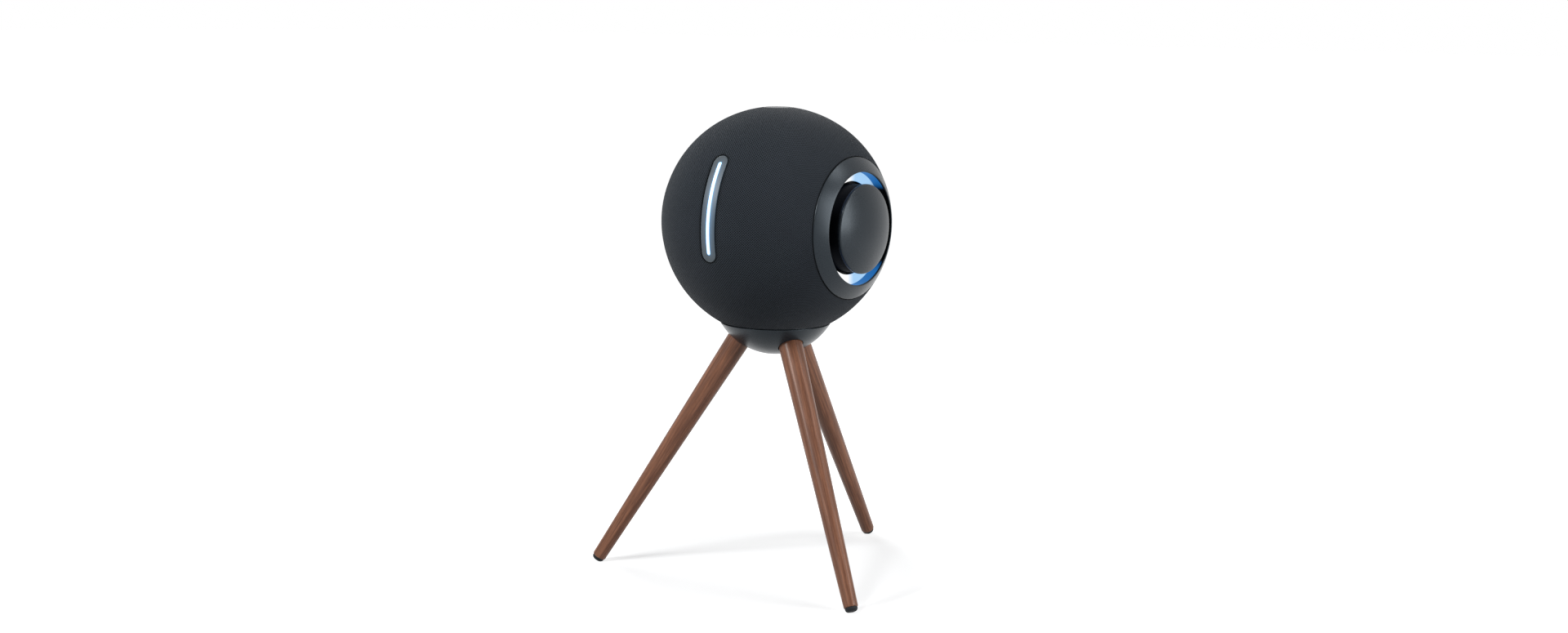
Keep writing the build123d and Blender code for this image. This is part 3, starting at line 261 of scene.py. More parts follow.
class StageSettings(PropertyGroup):
    """Camera and light."""

    azimuth: angle("Azimuth", "The camera's place round the ball", 35.235)
    distance: size("Distance", "Camera to the ball's axis", 2313.86)
    height: size("Height", "Camera over the ball's centre", 235.09)
    pitch: angle("Pitch", "Camera's tilt, up", -8.339)
    yaw: angle("Yaw", "Camera's turn, to its right", 0.23)
    roll: angle("Roll", "Camera's roll", 0.768)
    focal: amount("Focal length", "In pixels of the image's width", 2616.59, subtype="PIXEL")
    ambient: amount("Ambient", "Light from all round", 0.05)
    key_power: amount("Key light", "Light over the camera", 15.0, unit="POWER")
    left_power: amount("Left light", "Light at the left", 33.0, unit="POWER")
    right_power: amount("Right light", "Wide light at the right", 34.0, unit="POWER")
    high_power: amount("High light", "Light high at the right", 7.0, unit="POWER")
    back_power: amount("Back light", "Light behind, at the left", 16.0, unit="POWER")
    floor_glow: amount("Floor glow", "White that the floor adds between the feet", 0.575)


SETTINGS = {
    "speaker_ball": BallSizes,
    "speaker_side": SideSizes,
    "speaker_bar": BarSizes,
    "speaker_top": TopSizes,
    "speaker_cup": CupSizes,
    "speaker_leg": LegSizes,
    "speaker_finish": Finishes,
    "speaker_stage": StageSettings,
}


# Surfaces


def unit(vectors):
    """Vectors made one long."""
    vectors = np.asarray(vectors, float)
    return vectors / np.linalg.norm(vectors, axis=-1, keepdims=True)


def quads(shape, start):
    """Corners of a grid's faces: each point with its neighbours in the next row and column."""
    index = start + np.arange(shape[0] * shape[1]).reshape(shape[:2])
    faces = [index[:-1, :-1], index[1:, :-1], index[1:, 1:], index[:-1, 1:]]
    return np.stack(faces, axis=-1).reshape(-1, 4)


def mark_mesh(mesh, name, values, corners):
    """Store values with the points: two numbers as a UV map, one or three as an attribute."""
    if values.shape[-1] == 2:
        layer = mesh.uv_layers.new(name=name)
        layer.uv.foreach_set("vector", values[corners.ravel()].astype(np.float32).ravel())
        return
    kind, field = ("FLOAT", "value") if values.shape[-1] == 1 else ("FLOAT_VECTOR", "vector")
    attribute = mesh.attributes.new(name, kind, "POINT")
    attribute.data.foreach_set(field, values.astype(np.float32).ravel())


def in_scene(name, data):
    """New object in the scene."""
    made = bpy.data.objects.new(name, data)
    bpy.context.scene.collection.objects.link(made)
    return made


def make_piece(name, grids, marks=None):
    """Closed mesh object from grids of points, each a (rows, columns, 3) array: neighbours become quads,
    points that meet are merged, and faces are turned outwards."""
    starts = np.cumsum([0] + [grid.shape[0] * grid.shape[1] for grid in grids])
    corners = np.concatenate([quads(grid.shape, start) for grid, start in zip(grids, starts)])
    points = np.concatenate([grid.reshape(-1, 3) for grid in grids])
    mesh = bpy.data.meshes.new(name)
    mesh.vertices.add(len(points))
    mesh.vertices.foreach_set("co", points.astype(np.float32).ravel())
    mesh.loops.add(corners.size)
    mesh.loops.foreach_set("vertex_index", corners.ravel().astype(np.int32))
    mesh.polygons.add(len(corners))
    mesh.polygons.foreach_set("loop_start", np.arange(0, corners.size, 4, dtype=np.int32))
    mesh.update(calc_edges=True)
    for mark, values in (marks or {}).items():
        flat = np.concatenate([value.reshape(-1, value.shape[-1]) for value in values])
        mark_mesh(mesh, mark, flat, corners)
    work = bmesh.new()
    work.from_mesh(mesh)
    bmesh.ops.remove_doubles(work, verts=work.verts, dist=MERGE)
    bmesh.ops.recalc_face_normals(work, faces=work.faces)
    loose = sum(not edge.is_manifold for edge in work.edges)
    work.to_mesh(mesh)
    work.free()
    if loose:
        raise RuntimeError(f"{name} isn't closed: {loose} edges are open")
    mesh.shade_smooth()
    mesh.set_sharp_from_angle(angle=SHARP)
    return in_scene(name, mesh)


def dress(piece, slot, *nodes, body="speaker"):
    """Give a piece its finish, the CAD nodes that it stands for and the body that it moves with."""
    piece.data.materials.clear()
    piece.data.materials.append(finish(slot))
    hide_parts(*nodes)
    if body:
        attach(piece, body)
    return piece


def rounded(*corners, steps=5):
    """Outline through (across, along) corners. A corner with a third value turns on an arc of that radius:
    its middle lies on the corner's bisector, its ends at radius / tan(half the corner) from the corner."""
    spots = np.array([corner[:2] for corner in corners], float)
    share = np.linspace(0, 1, steps + 1)[:, None]
    outline = []
    for k, (spot, corner) in enumerate(zip(spots, corners)):
        bend = corner[2] if len(corner) == 3 else 0.0
        if bend == 0:
            outline.append(spot[None])
            continue
        back = unit(spots[k - 1] - spot)
        ahead = unit(spots[(k + 1) % len(spots)] - spot)
        half = np.arccos(back @ ahead) / 2
        middle = spot + unit(back + ahead) * bend / np.sin(half)
        turn = pi - 2 * half
        first = spot + back * bend / np.tan(half) - middle
        last = spot + ahead * bend / np.tan(half) - middle
        arc = (np.sin((1 - share) * turn) * first + np.sin(share * turn) * last) / np.sin(turn)
        outline.append(middle + arc)
    return np.concatenate(outline)


def closed(outline):
    """Outline that ends where it starts."""
    return np.concatenate([outline, outline[:1]])


def dome_run(radius, start, end, count, lift=0.0):
    """Points on a sphere about the axis, from one distance off the axis to another."""
    across = np.linspace(start, end, count)
    return np.column_stack([across, lift + rise(radius, across)])


def straight_run(start, end, count):
    """Points evenly along a line, without its ends."""
    share = np.linspace(0, 1, count + 2)[1:-1, None]
    return (1 - share) * start + share * np.asarray(end)


def turned(outline, origin, axis, segments):
    """Grid of an outline carried round an axis: across times a unit circle, plus along times the axis."""
    axis = unit(axis)
    side = unit(np.cross(axis, UP if abs(axis[2]) < 0.9 else RIGHT))
    turn = np.linspace(0, 2 * pi, segments + 1)[:, None]
    ring = np.cos(turn) * side + np.sin(turn) * np.cross(axis, side)
    ring[-1] = ring[0]
    return origin + outline[None, :, :1] * ring[:, None] + outline[None, :, 1:2] * axis


def round_piece(name, outline, slot, node, axis, segments=192, origin=CENTRE, body="speaker"):
    """Piece of an outline carried round an axis, dressed."""
    return dress(make_piece(name, [turned(outline, origin, axis, segments)]), slot, node, body=body)


# Finishes

FACTOR, FIRST, SECOND, MIXED = 0, 6, 7, 2  # sockets of a colour mix


def feed(tree, inputs, values):
    """Give a node's inputs their values or links."""
    for key, value in values.items():
        if isinstance(value, NodeSocket):
            tree.links.new(value, inputs[key])
        else:
            inputs[key].default_value = value


def add(tree, kind, values, **settings):
    """Node with its settings, and with values or links at its inputs."""
    node = tree.nodes.new(kind)
    for key, value in settings.items():
        setattr(node, key, value)
    feed(tree, node.inputs, values)
    return node


def place(tree):
    """Object coordinates."""
    return add(tree, "ShaderNodeTexCoord", {}).outputs["Object"]


def attribute(tree, name, output="Fac"):
    """What is stored with the points: one number, or three as a Vector."""
    return add(tree, "ShaderNodeAttribute", {}, attribute_name=name).outputs[output]


def parts(tree, vector):
    """X, Y and Z of a vector, as a node's outputs."""
    return add(tree, "ShaderNodeSeparateXYZ", {"Vector": vector}).outputs


def stretched(tree, vector, scale):
    """Coordinates scaled along each axis."""
    return add(tree, "ShaderNodeMapping", {"Vector": vector, "Scale": scale}).outputs["Vector"]


def noise(tree, vector, scale, detail=2.0, roughness=0.55):
    """Soft noise, from 0 to 1."""
    values = {"Vector": vector, "Scale": scale, "Detail": detail, "Roughness": roughness}
    return add(tree, "ShaderNodeTexNoise", values).outputs["Fac"]


def maths(tree, operation, first, second=0.0):
    """One sum on numbers or sockets."""
    return add(tree, "ShaderNodeMath", {0: first, 1: second}, operation=operation).outputs[0]


def remap(tree, value, low, high, to_low=0.0, to_high=1.0, kind="SMOOTHSTEP"):
    """Value taken from one span to another."""
    values = {"Value": value, "From Min": low, "From Max": high, "To Min": to_low, "To Max": to_high}
    return add(tree, "ShaderNodeMapRange", values, interpolation_type=kind).outputs["Result"]


def mix(tree, share, *colours):
    """Two colours mixed by a share."""
    first, second = [c if isinstance(c, NodeSocket) else (*c[:3], 1.0) for c in colours]
    values = {FACTOR: share, FIRST: first, SECOND: second}
    return add(tree, "ShaderNodeMix", values, data_type="RGBA").outputs[MIXED]


def shade(colour, factor):
    """Colour times a factor."""
    return tuple(min(1.0, value * factor) for value in colour)


def varied(tree, share, colour, low, high):
    """Colour between two shades of itself."""
    return mix(tree, share, shade(colour, low), shade(colour, high))


def relief(tree, height, distance, strength=1.0):
    """Bump from a height in units of a distance."""
    values = {"Height": height, "Distance": distance, "Strength": strength}
    return add(tree, "ShaderNodeBump", values).outputs["Normal"]


def shaded(material, **values):
    """Material with values or links at its shader's inputs."""
    tree = material.node_tree
    inputs = tree.nodes["Principled BSDF"].inputs
    feed(tree, inputs, {key.replace("_", " "): value for key, value in values.items()})
    return material


def new_look(name, **values):
    """New material with constant values on its shader, and its node tree."""
    material = bpy.data.materials.new(name)
    material.use_nodes = True
    return shaded(material, **values), material.node_tree


def moulded(name, colour, roughness, grain=1600.0, depth=0.02 * MM, specular=0.35, gleam=WHITE):
    """Moulded plastic or rubber: spark-eroded grain, faint flow marks in colour and gloss."""
    material, tree = new_look(name, Specular_IOR_Level=specular, Specular_Tint=(*gleam, 1.0))
    where = place(tree)
    flow = noise(tree, where, 22.0)
    fine = noise(tree, where, grain)
    gloss = remap(tree, fine, 0.3, 0.7, roughness - 0.05, roughness + 0.05)
    gloss = maths(tree, "ADD", gloss, remap(tree, flow, 0.3, 0.7, -0.03, 0.03))
    colours = varied(tree, flow, colour, 0.88, 1.12)
    return shaded(material, Base_Color=colours, Roughness=gloss, Normal=relief(tree, fine, depth))


def metal(name, colour, roughness, stretch=(1.0, 1.0, 1.0)):
    """Bare metal with fine tool marks, drawn out along the axis of the smallest stretch."""
    material, tree = new_look(name, Metallic=1.0)
    marks = noise(tree, stretched(tree, place(tree), stretch), 900.0, 3.0)
    cloud = noise(tree, place(tree), 35.0)
    return shaded(
        material,
        Base_Color=varied(tree, cloud, colour, 0.9, 1.08),
        Roughness=remap(tree, marks, 0.25, 0.75, roughness - 0.08, roughness + 0.1),
        Normal=relief(tree, marks, 0.015 * MM),
    )


def woven(name, uv_map, yarn, hole, depth, sheen=0.08, axes="XY", cells=1.0):
    """Knitted mesh: holes on a diagonal lattice of cells, yarn rounded between them, fuzz and mottling.
    cos(2 pi u) cos(2 pi v) is 1 at the middle of each hole."""
    material, tree = new_look(name, Sheen_Weight=sheen, Sheen_Roughness=0.45, Specular_IOR_Level=0.04)
    here = place(tree)
    source = add(tree, "ShaderNodeUVMap", {}, uv_map=uv_map).outputs["UV"] if uv_map else here
    split = parts(tree, stretched(tree, source, (cells, cells, cells)))
    turns = [maths(tree, "MULTIPLY", split[axis], 2 * pi) for axis in axes]
    wave = maths(tree, "MULTIPLY", *[maths(tree, "COSINE", turn) for turn in turns])
    gap = remap(tree, wave, 0.05, 0.6)
    # Painted shade at the openings and hems darkens the yarn towards the hole colour.
    if uv_map:
        gap = maths(tree, "MAXIMUM", gap, attribute(tree, "fold"))
    fuzz = noise(tree, here, 2600.0)
    mottle = remap(tree, noise(tree, here, 28.0, 3.0), 0.3, 0.7, 0.0, 0.35)
    thread = mix(tree, mottle, varied(tree, fuzz, yarn, 0.8, 1.2), shade(yarn, 0.8))
    height = maths(tree, "ADD", maths(tree, "MULTIPLY", wave, -0.5), maths(tree, "MULTIPLY", fuzz, 0.35))
    return shaded(
        material,
        Base_Color=mix(tree, gap, thread, hole),
        Roughness=remap(tree, fuzz, 0.2, 0.8, 0.82, 0.96),
        Normal=relief(tree, height, depth, 0.8),
    )


def walnut(name, dark, middle, light):
    """Oiled walnut: growth bands bent by noise, darker streaks and fine pores along the leg.
    The "grain" attribute holds a point's place across and along its leg."""
    material, tree = new_look(name, Coat_Weight=0.36, Coat_Roughness=0.28, Specular_IOR_Level=0.1)
    grain = attribute(tree, "grain", "Vector")
    warp = noise(tree, stretched(tree, grain, (1.0, 1.0, 0.09)), 90.0, 3.0)
    ring = maths(tree, "MULTIPLY", parts(tree, grain)["X"], 1300.0)
    ring = maths(tree, "ADD", ring, maths(tree, "MULTIPLY", warp, 26.0))
    bands = remap(tree, maths(tree, "SINE", ring), -1.0, 1.0)
    streak = noise(tree, stretched(tree, grain, (1.0, 1.0, 0.035)), 420.0, 4.0, 0.65)
    pore = remap(tree, noise(tree, stretched(tree, grain, (1.0, 1.0, 0.05)), 2600.0), 0.6, 0.72)
    body = mix(tree, remap(tree, streak, 0.3, 0.7), dark, light)
    body = mix(tree, 0.45, body, middle)
    body = mix(tree, maths(tree, "MULTIPLY", bands, 0.3), body, dark)
    return shaded(
        material,
        Base_Color=mix(tree, maths(tree, "MULTIPLY", pore, 0.5), body, shade(dark, 0.5)),
        Roughness=remap(tree, streak, 0.25, 0.75, 0.36, 0.48),
        Normal=relief(tree, maths(tree, "SUBTRACT", streak, pore), 0.03 * MM, 0.6),
    )


def lit_strip(name, core, edge):
    """Diffuser of the light bar: white core, blue towards its edge; "across" runs from 0 to 1."""
    material, tree = new_look(name, Roughness=0.4, Emission_Strength=1.0)
    across = attribute(tree, "across")
    cloud = remap(tree, noise(tree, place(tree), 60.0), 0.3, 0.8, 0.0, 0.06)
    glow = mix(tree, remap(tree, across, 0.45, 0.85), core, edge)
    base = mix(tree, across, shade(WHITE, 0.8), edge)
    return shaded(material, Base_Color=base, Emission_Color=mix(tree, cloud, glow, edge))


def lit_ring(name, floor, wall):
    """Translucent lining of the recess: "lit" fades its arcs in, "wall" is 1 on the wall and "hot" is
    the share of white on the floor."""
    material, tree = new_look(name, Roughness=0.4, Emission_Strength=1.0, Specular_IOR_Level=0.1)
    colour = mix(tree, attribute(tree, "hot"), floor, WHITE)
    colour = mix(tree, attribute(tree, "wall"), colour, wall)
    glow = mix(tree, attribute(tree, "lit"), BLACK, colour)
    cloud = noise(tree, place(tree), 300.0)
    unlit = mix(tree, cloud, (0.006, 0.007, 0.009), (0.01, 0.012, 0.015))
    return shaded(material, Base_Color=unlit, Emission_Color=glow)


def bezel_with_painted_glow(name, colour, light):
    """Satin grey frame of the light bar, with painted light from the strip near its slot: "glow" is its
    share.
    """
    material = moulded(name, colour, 0.42, 2200.0, 0.012 * MM)
    tree = material.node_tree
    # Painted light of the strip on the bezel, in the strip's edge colour.
    through = mix(tree, attribute(tree, "glow"), BLACK, shade(light, 0.4))
    return shaded(material, Emission_Strength=1.0, Emission_Color=through)


def circuit(name):
    """Green board: copper paths show lighter under the lacquer, between the cells of a maze, with pads."""
    material, tree = new_look(name, Specular_IOR_Level=0.5)
    where = place(tree)
    maze = add(tree, "ShaderNodeTexVoronoi", {"Vector": where, "Scale": 260.0}, feature="DISTANCE_TO_EDGE")
    path = remap(tree, maze.outputs["Distance"], 0.03, 0.08)
    dots = add(tree, "ShaderNodeTexVoronoi", {"Vector": where, "Scale": 190.0, "Randomness": 0.6})
    pad = remap(tree, dots.outputs["Distance"], 0.2, 0.16)
    lacquer = mix(tree, path, srgb(30, 92, 58), srgb(16, 62, 40))
    return shaded(
        material,
        Base_Color=mix(tree, pad, lacquer, srgb(196, 178, 120)),
        Roughness=remap(tree, path, 0.0, 1.0, 0.32, 0.42),
        Normal=relief(tree, path, 0.03 * MM),
    )


def wound_copper(name, pitch):
    """Enamelled wire in close turns along X, with a sheen that varies from turn to turn."""
    material, tree = new_look(name, Metallic=1.0)
    where = place(tree)
    wave = maths(tree, "SINE", maths(tree, "MULTIPLY", parts(tree, where)["X"], 2 * pi / pitch))
    turns = remap(tree, wave, -1.0, 1.0)
    return shaded(
        material,
        Base_Color=mix(tree, turns, srgb(120, 58, 32), srgb(190, 106, 62)),
        Roughness=remap(tree, noise(tree, where, 120.0), 0.2, 0.8, 0.25, 0.4),
        Normal=relief(tree, turns, 0.1 * MM),
    )


def finish(slot):
    """The procedural finish of a material slot, made once."""
    name = f"look_{slot}"
    if name in bpy.data.materials:
        return bpy.data.materials[name]
    tones = bpy.context.scene.speaker_finish
    spider = (srgb(186, 142, 74), srgb(92, 66, 30))
    silk = (srgb(70, 72, 78), srgb(24, 25, 28))
    # A moulding has a colour, a roughness, its grain's scale and depth, a specular level and a gloss tint;
    # the charcoal's bluish gloss tint is painted cool light in its reflections.
    # A weave has a UV map, a yarn and a hole colour, a depth, a sheen, two axes and cells to the metre.
    recipes = {
        "fabric": (woven, "weave", tones.yarn, tones.mesh_hole, 0.35 * MM),
        "wood": (walnut, tones.wood_dark, tones.wood_mid, tones.wood_light),
        "rubber": (moulded, tones.rubber, 0.72, 900.0, 0.03 * MM, 0.25),
        # Charcoal's bluish gloss tint is painted cool light in its reflections.
        "charcoal": (moulded, tones.charcoal, 0.3, 1600.0, 0.02 * MM, 0.3, (0.78, 0.9, 1.0)),
        "bezel": (bezel_with_painted_glow, tones.bezel, tones.strip_edge),
        "black_plastic": (moulded, tones.black, 0.6, 1200.0, 0.02 * MM, 0.04),
        "bar_light": (lit_strip, tones.strip, tones.strip_edge),
        "ring_light": (lit_ring, tones.lit_floor, tones.lit_wall),
        "steel": (metal, srgb(176, 180, 184), 0.32, (1.0, 1.0, 0.2)),
        "aluminium": (metal, srgb(196, 199, 202), 0.45),
        "ferrite": (moulded, srgb(52, 53, 56), 0.6, 500.0, 0.05 * MM),
        "circuit_board": (circuit,),
        "copper": (wound_copper, 0.4 * MM),
        "spider_cloth": (woven, None, *spider, 0.15 * MM, 0.1, "YZ", 1 / (1.2 * MM)),
        "silk": (woven, None, *silk, 0.05 * MM, 0.3, "XZ", 1 / (0.5 * MM)),
    }
    maker, *values = recipes[slot]
    return maker(name, *values)


# Fabric

BAND_STEP = radians(1.5)  # between points along the middle plane
HEM_POINTS = 5
RIM_SHADE_REACH = 0.5 * MM  # reach of the painted shade at a ring
SLOT_SHADE_REACH = 1.2 * MM  # reach of the painted shade at the light bar


def capsule(half, width, side, bend):
    """Right half of a capsule outline about the origin, from its lower to its upper end: (across, along).
    Its ends are half circles of half the width; between them runs a straight of twice the half length."""
    turn = np.linspace(-pi / 2, 0, bend + 1)
    low = np.column_stack([width / 2 * np.cos(turn), width / 2 * np.sin(turn) - half])
    high = low[::-1] * (1, -1)
    if half == 0:
        return np.concatenate([low, high[1:]])
    straight = np.column_stack([np.full(side, width / 2), np.linspace(-half, half, side + 2)[1:-1]])
    return np.concatenate([low, straight, high])


def openings(scene, grow):
    """The three openings on the ball's middle plane, grown by a margin: (angle up from front, outline)."""
    ball, bar, top = scene.speaker_ball, scene.speaker_bar, scene.speaker_top
    half = (bar.length - bar.width) / 2
    slot = capsule(half, bar.width + 2 * (ball.gap + grow), side=28, bend=16)
    crown = capsule(0, 2 * (top.opening + grow), side=0, bend=20)
    seam = capsule(0, 2 * (ball.seam + grow), side=0, bend=34)
    return (bar.latitude, slot), (pi / 2, crown), (3 * pi / 2, seam)


def edge_runs(scene, radius, grow):
    """The openings' edges on the ball: angle about X and angle out of the middle plane at each point.
    An outline's point (u, v) lies at atan(v / sqrt(R^2 - u^2 - v^2)) about X and asin(u / R) out of it."""
    runs = []
    for middle, outline in openings(scene, grow):
        across, along = outline.T
        about = middle + np.arctan2(along, rise(radius, np.hypot(across, along)))
        runs.append(np.column_stack([about, np.arcsin(np.clip(across / radius, 0, 1))]))
    return runs


def band_edge(scene, radius, grow):
    """Edge of the fabric's right half along the middle plane: its openings and the gaps between them.
    A gap has as many points at every radius and margin."""
    runs = edge_runs(scene, radius, grow)
    plain = edge_runs(scene, scene.speaker_ball.radius, 0.0)
    edge, spans = [], []
    for k, run in enumerate(runs):
        start = sum(map(len, edge))
        spans.append(slice(start, start + len(run)))
        after = (k + 1) % len(runs)
        lap = 0.0 if after else 2 * pi
        count = round((plain[after][0, 0] + lap - plain[k][-1, 0]) / BAND_STEP)
        gap = np.linspace(run[-1, 0], runs[after][0, 0] + lap, count + 1)[1:]
        gap = gap[:-1] if after else gap
        edge += [run, np.column_stack([gap, np.zeros(len(gap))])]
    return np.concatenate(edge), spans


def ball_points(radius, about, out):
    """Points on the ball: R (sin out, -cos out cos about, cos out sin about) from its centre."""
    flat = np.cos(out)
    return CENTRE + radius * np.stack([np.sin(out), -flat * np.cos(about), flat * np.sin(about)], axis=-1)


def band(scene, radius, grow, rows):
    """Grid of the right half: from the middle plane or an opening's edge out to the ring's opening."""
    side = scene.speaker_side
    edge, spans = band_edge(scene, radius, grow)
    ring = side.cap + side.recess + side.band + side.opening_gap + grow
    share = (1 - np.cos(np.linspace(0, pi, rows))) / 2
    about = np.repeat(edge[:, :1], rows, axis=1)
    out = edge[:, 1:] + (np.arccos(ring / radius) - edge[:, 1:]) * share
    return about, out, spans


def hem_rows(outer, corner, middle, inner):
    """Rows over a hem, from the face over the corner and down the edge: with s from 0 to 1,
    (1 - s)^2 of the face, 2 s (1 - s) of the corner and s^2 of the edge's middle."""
    share = np.linspace(0, 1, HEM_POINTS)[:, None, None]
    bend = (1 - share) ** 2 * outer + 2 * share * (1 - share) * corner + share**2 * middle
    return np.concatenate([bend, inner[None]]).transpose(1, 0, 2)


class SPEAKER_OT_fabric(Operator):
    """Knitted fabric over the ball, with hemmed openings for rings, light bar, button and cup"""

    bl_idname = "speaker.fabric"
    bl_label = "Fabric"

    def execute(self, context):
        scene = context.scene
        ball = scene.speaker_ball
        layers = [
            {"radius": ball.radius, "grow": ball.hem, "rows": 84},
            {"radius": ball.radius, "grow": 0.0, "rows": 2},
            {"radius": ball.radius - ball.hem, "grow": 0.0, "rows": 2},
            {"radius": ball.radius - ball.cloth, "grow": 0.0, "rows": 24},
        ]
        face, lining = 0, len(layers) - 1
        angles = [band(scene, **layer) for layer in layers]
        points = [ball_points(layer["radius"], *found[:2]) for layer, found in zip(layers, angles)]
        weave = [np.stack(found[:2], axis=-1) * ball.cells / (2 * pi) for found in angles]
        painted_edge_shades = [self.fold(*found, ball.radius) for found in angles]
        # dark holds the painted shade of each grid, fading from the openings' edges.
        grids, marks, dark = [], [], []
        for hand in HANDS.values():
            flip = np.array([hand, 1.0, 1.0])
            turn = np.array([1.0, hand])
            for k in (face, lining):
                grids.append(points[k] * flip)
                marks.append(weave[k] * turn)
                dark.append(painted_edge_shades[k][..., None])
            for column, spans in ((-1, [slice(None)]), (0, angles[face][2])):
                for span in spans:
                    rows = hem_rows(*[grid[span, column] for grid in points])
                    edge = (weave[face][span, column] * turn)[:, None]
                    grids.append(rows * flip)
                    marks.append(np.repeat(edge, rows.shape[1], axis=1))
                    # The hems are painted fully in shade.
                    dark.append(np.ones((*rows.shape[:2], 1)))
        piece = make_piece("fabric_skin", grids, {"weave": marks, "fold": dark})
        dress(piece, "fabric", "fabric_cover")
        return {"FINISHED"}

    def fold(self, about, out, spans, radius):
        """Painted shade where the cloth meets its openings, darkest at the edge: exp(-distance from the
        edge / its reach).
        """
        rim = np.exp(-(out[:, -1:] - out) * radius / RIM_SHADE_REACH)
        slot = np.zeros(len(out))
        slot[spans[0]] = 1.0
        return np.maximum(rim, slot[:, None] * np.exp(-(out - out[:, :1]) * radius / SLOT_SHADE_REACH))


# Sides

RING_SEGMENTS = 256


class SPEAKER_OT_rings(Operator):
    """Plastic rings round the lit recesses, with a ledge under the grille and a tube behind"""

    bl_idname = "speaker.rings"
    bl_label = "Side rings"

    def execute(self, context):
        scene = context.scene
        ball, side = scene.speaker_ball, scene.speaker_side
        opening = side.cap + side.recess
        edge = opening + side.band
        ledge = girth("right_trim_ring")
        face = ball.radius + side.proud
        lip = rise(ball.radius, opening) - side.lip
        under = hypot(RING_LOW, ledge)
        shelf = under + 2.5 * MM
        tube = girth("right_light_ring") + 0.2 * MM
        tube_out = tube + 2.6 * MM
        outline = rounded(
            (opening, lip, 0.3 * MM),
            (opening, rise(face, opening), side.lip_round),
            *dome_run(face, opening + 2.5 * MM, edge - 1.5 * MM, 24),
            (edge, rise(face, edge), 0.5 * MM),
            (edge, rise(shelf, edge)),
            *dome_run(shelf, edge + 1 * MM, ledge, 4),
            (ledge, RING_LOW),
            *dome_run(under, ledge - 1 * MM, tube_out, 10),
            (tube_out, SURROUND_SEAT),
            (tube, SURROUND_SEAT),
            (tube, lip),
        )
        outline = closed(outline)
        for hand, sign in HANDS.items():
            axis = sign * RIGHT
            round_piece(f"{hand}_ring", outline, "charcoal", f"{hand}_trim_ring", axis, RING_SEGMENTS)
        return {"FINISHED"}


class SPEAKER_OT_light_rings(Operator):
    """Translucent linings of the recesses, lit in an arc at the top and one at the bottom"""

    bl_idname = "speaker.light_rings"
    bl_label = "Light rings"

    ARC_MIDDLE = radians(8)  # towards the front from straight up or down
    ARC_HALF = radians(44)
    ARC_FADE = radians(14)
    WHITE_START = radians(-8)
    WHITE_FADE = radians(12)

    def execute(self, context):
        scene = context.scene
        side = scene.speaker_side
        opening = side.cap + side.recess
        floor = rise(scene.speaker_ball.radius, opening) - side.depth
        floor_round = 0.4 * MM
        back = floor - 2 * MM
        wall = opening + 0.4 * MM
        outside = girth("right_light_ring")
        foot = outside - 3.5 * MM
        inside = side.cap + 2.2 * MM
        outline = rounded(
            (inside, back),
            (inside, floor, floor_round),
            *straight_run((inside, floor), (wall, floor), 10),
            (wall, floor, 0.3 * MM),
            *straight_run((wall, floor), (wall, LIGHT_TOP), 8),
            (wall, LIGHT_TOP),
            (outside, LIGHT_TOP),
            (outside, LIGHT_FOOT),
            (foot, LIGHT_FOOT),
            (foot, back),
        )
        across, along = closed(outline).T
        shows = (along > floor - 0.5 * MM) * (across < wall + 0.1 * MM)
        on_wall = np.abs(along - floor) >= floor_round
        for hand, sign in HANDS.items():
            grid = turned(closed(outline), CENTRE, sign * RIGHT, RING_SEGMENTS)
            away = grid - CENTRE
            forward = np.arctan2(-away[..., 1], np.abs(away[..., 2]))
            lean = np.abs(forward - self.ARC_MIDDLE)
            lit = shows * (1 - np.clip((lean - self.ARC_HALF) / self.ARC_FADE, 0, 1) ** 2)
            hot = np.clip((forward - self.WHITE_START) / self.WHITE_FADE, 0, 1)
            wall_share = np.broadcast_to(on_wall, lean.shape).astype(float)
            marks = {"lit": [lit[..., None]], "wall": [wall_share[..., None]], "hot": [hot[..., None]]}
            dress(make_piece(f"{hand}_glow_ring", [grid], marks), "ring_light", f"{hand}_light_ring")
        return {"FINISHED"}


class SPEAKER_OT_caps(Operator):
    """Caps that follow the ball, and the black pistons that carry them"""

    bl_idname = "speaker.caps"
    bl_label = "Caps and pistons"

    def execute(self, context):
        side = context.scene.speaker_side
        inner = side.cap - side.wall
        cap = rounded(
            *dome_run(CAP_TOP, 0.0, side.cap - 4 * MM, 40),
            (side.cap, rise(CAP_TOP, side.cap), side.cap_round),
            (side.cap, CAP_BASE, 0.2 * MM),
            (inner, CAP_BASE),
            *dome_run(CAP_TOP - side.wall, inner, 0.0, 16),
            steps=8,
        )
        skirt = side.cap - 0.6 * MM
        skirt_in = skirt - side.wall
        lip = girth("right_piston")
        lip_wall = 1.2 * MM
        neck_wall = 1.8 * MM
        piston = rounded(
            (skirt_in, CAP_BASE),
            (skirt, CAP_BASE),
            *straight_run((skirt, CAP_BASE), (skirt, SURROUND_SEAT), 6),
            (skirt, SURROUND_SEAT),
            (lip, SURROUND_SEAT, 0.2 * MM),
            (lip, SURROUND_SEAT - lip_wall, 0.2 * MM),
            (skirt, SURROUND_SEAT - lip_wall),
            (NECK_R + neck_wall, PISTON_LOW),
            (NECK_R, PISTON_LOW),
            (NECK_R, PISTON_LOW + neck_wall),
            (skirt_in, SURROUND_SEAT + lip_wall, 1.0 * MM),
        )
        for hand, sign in HANDS.items():
            woofer = {"axis": sign * RIGHT, "body": f"{hand}_woofer"}
            round_piece(f"{hand}_cap", cap, "charcoal", f"{hand}_dome", **woofer)
            round_piece(f"{hand}_skirt", closed(piston), "black_plastic", f"{hand}_piston", **woofer)
        return {"FINISHED"}


def follow_piston(piece):
    """Bake a round piece's placement into its points."""
    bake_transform(piece)
    away = mesh_points(piece.data) - CENTRE


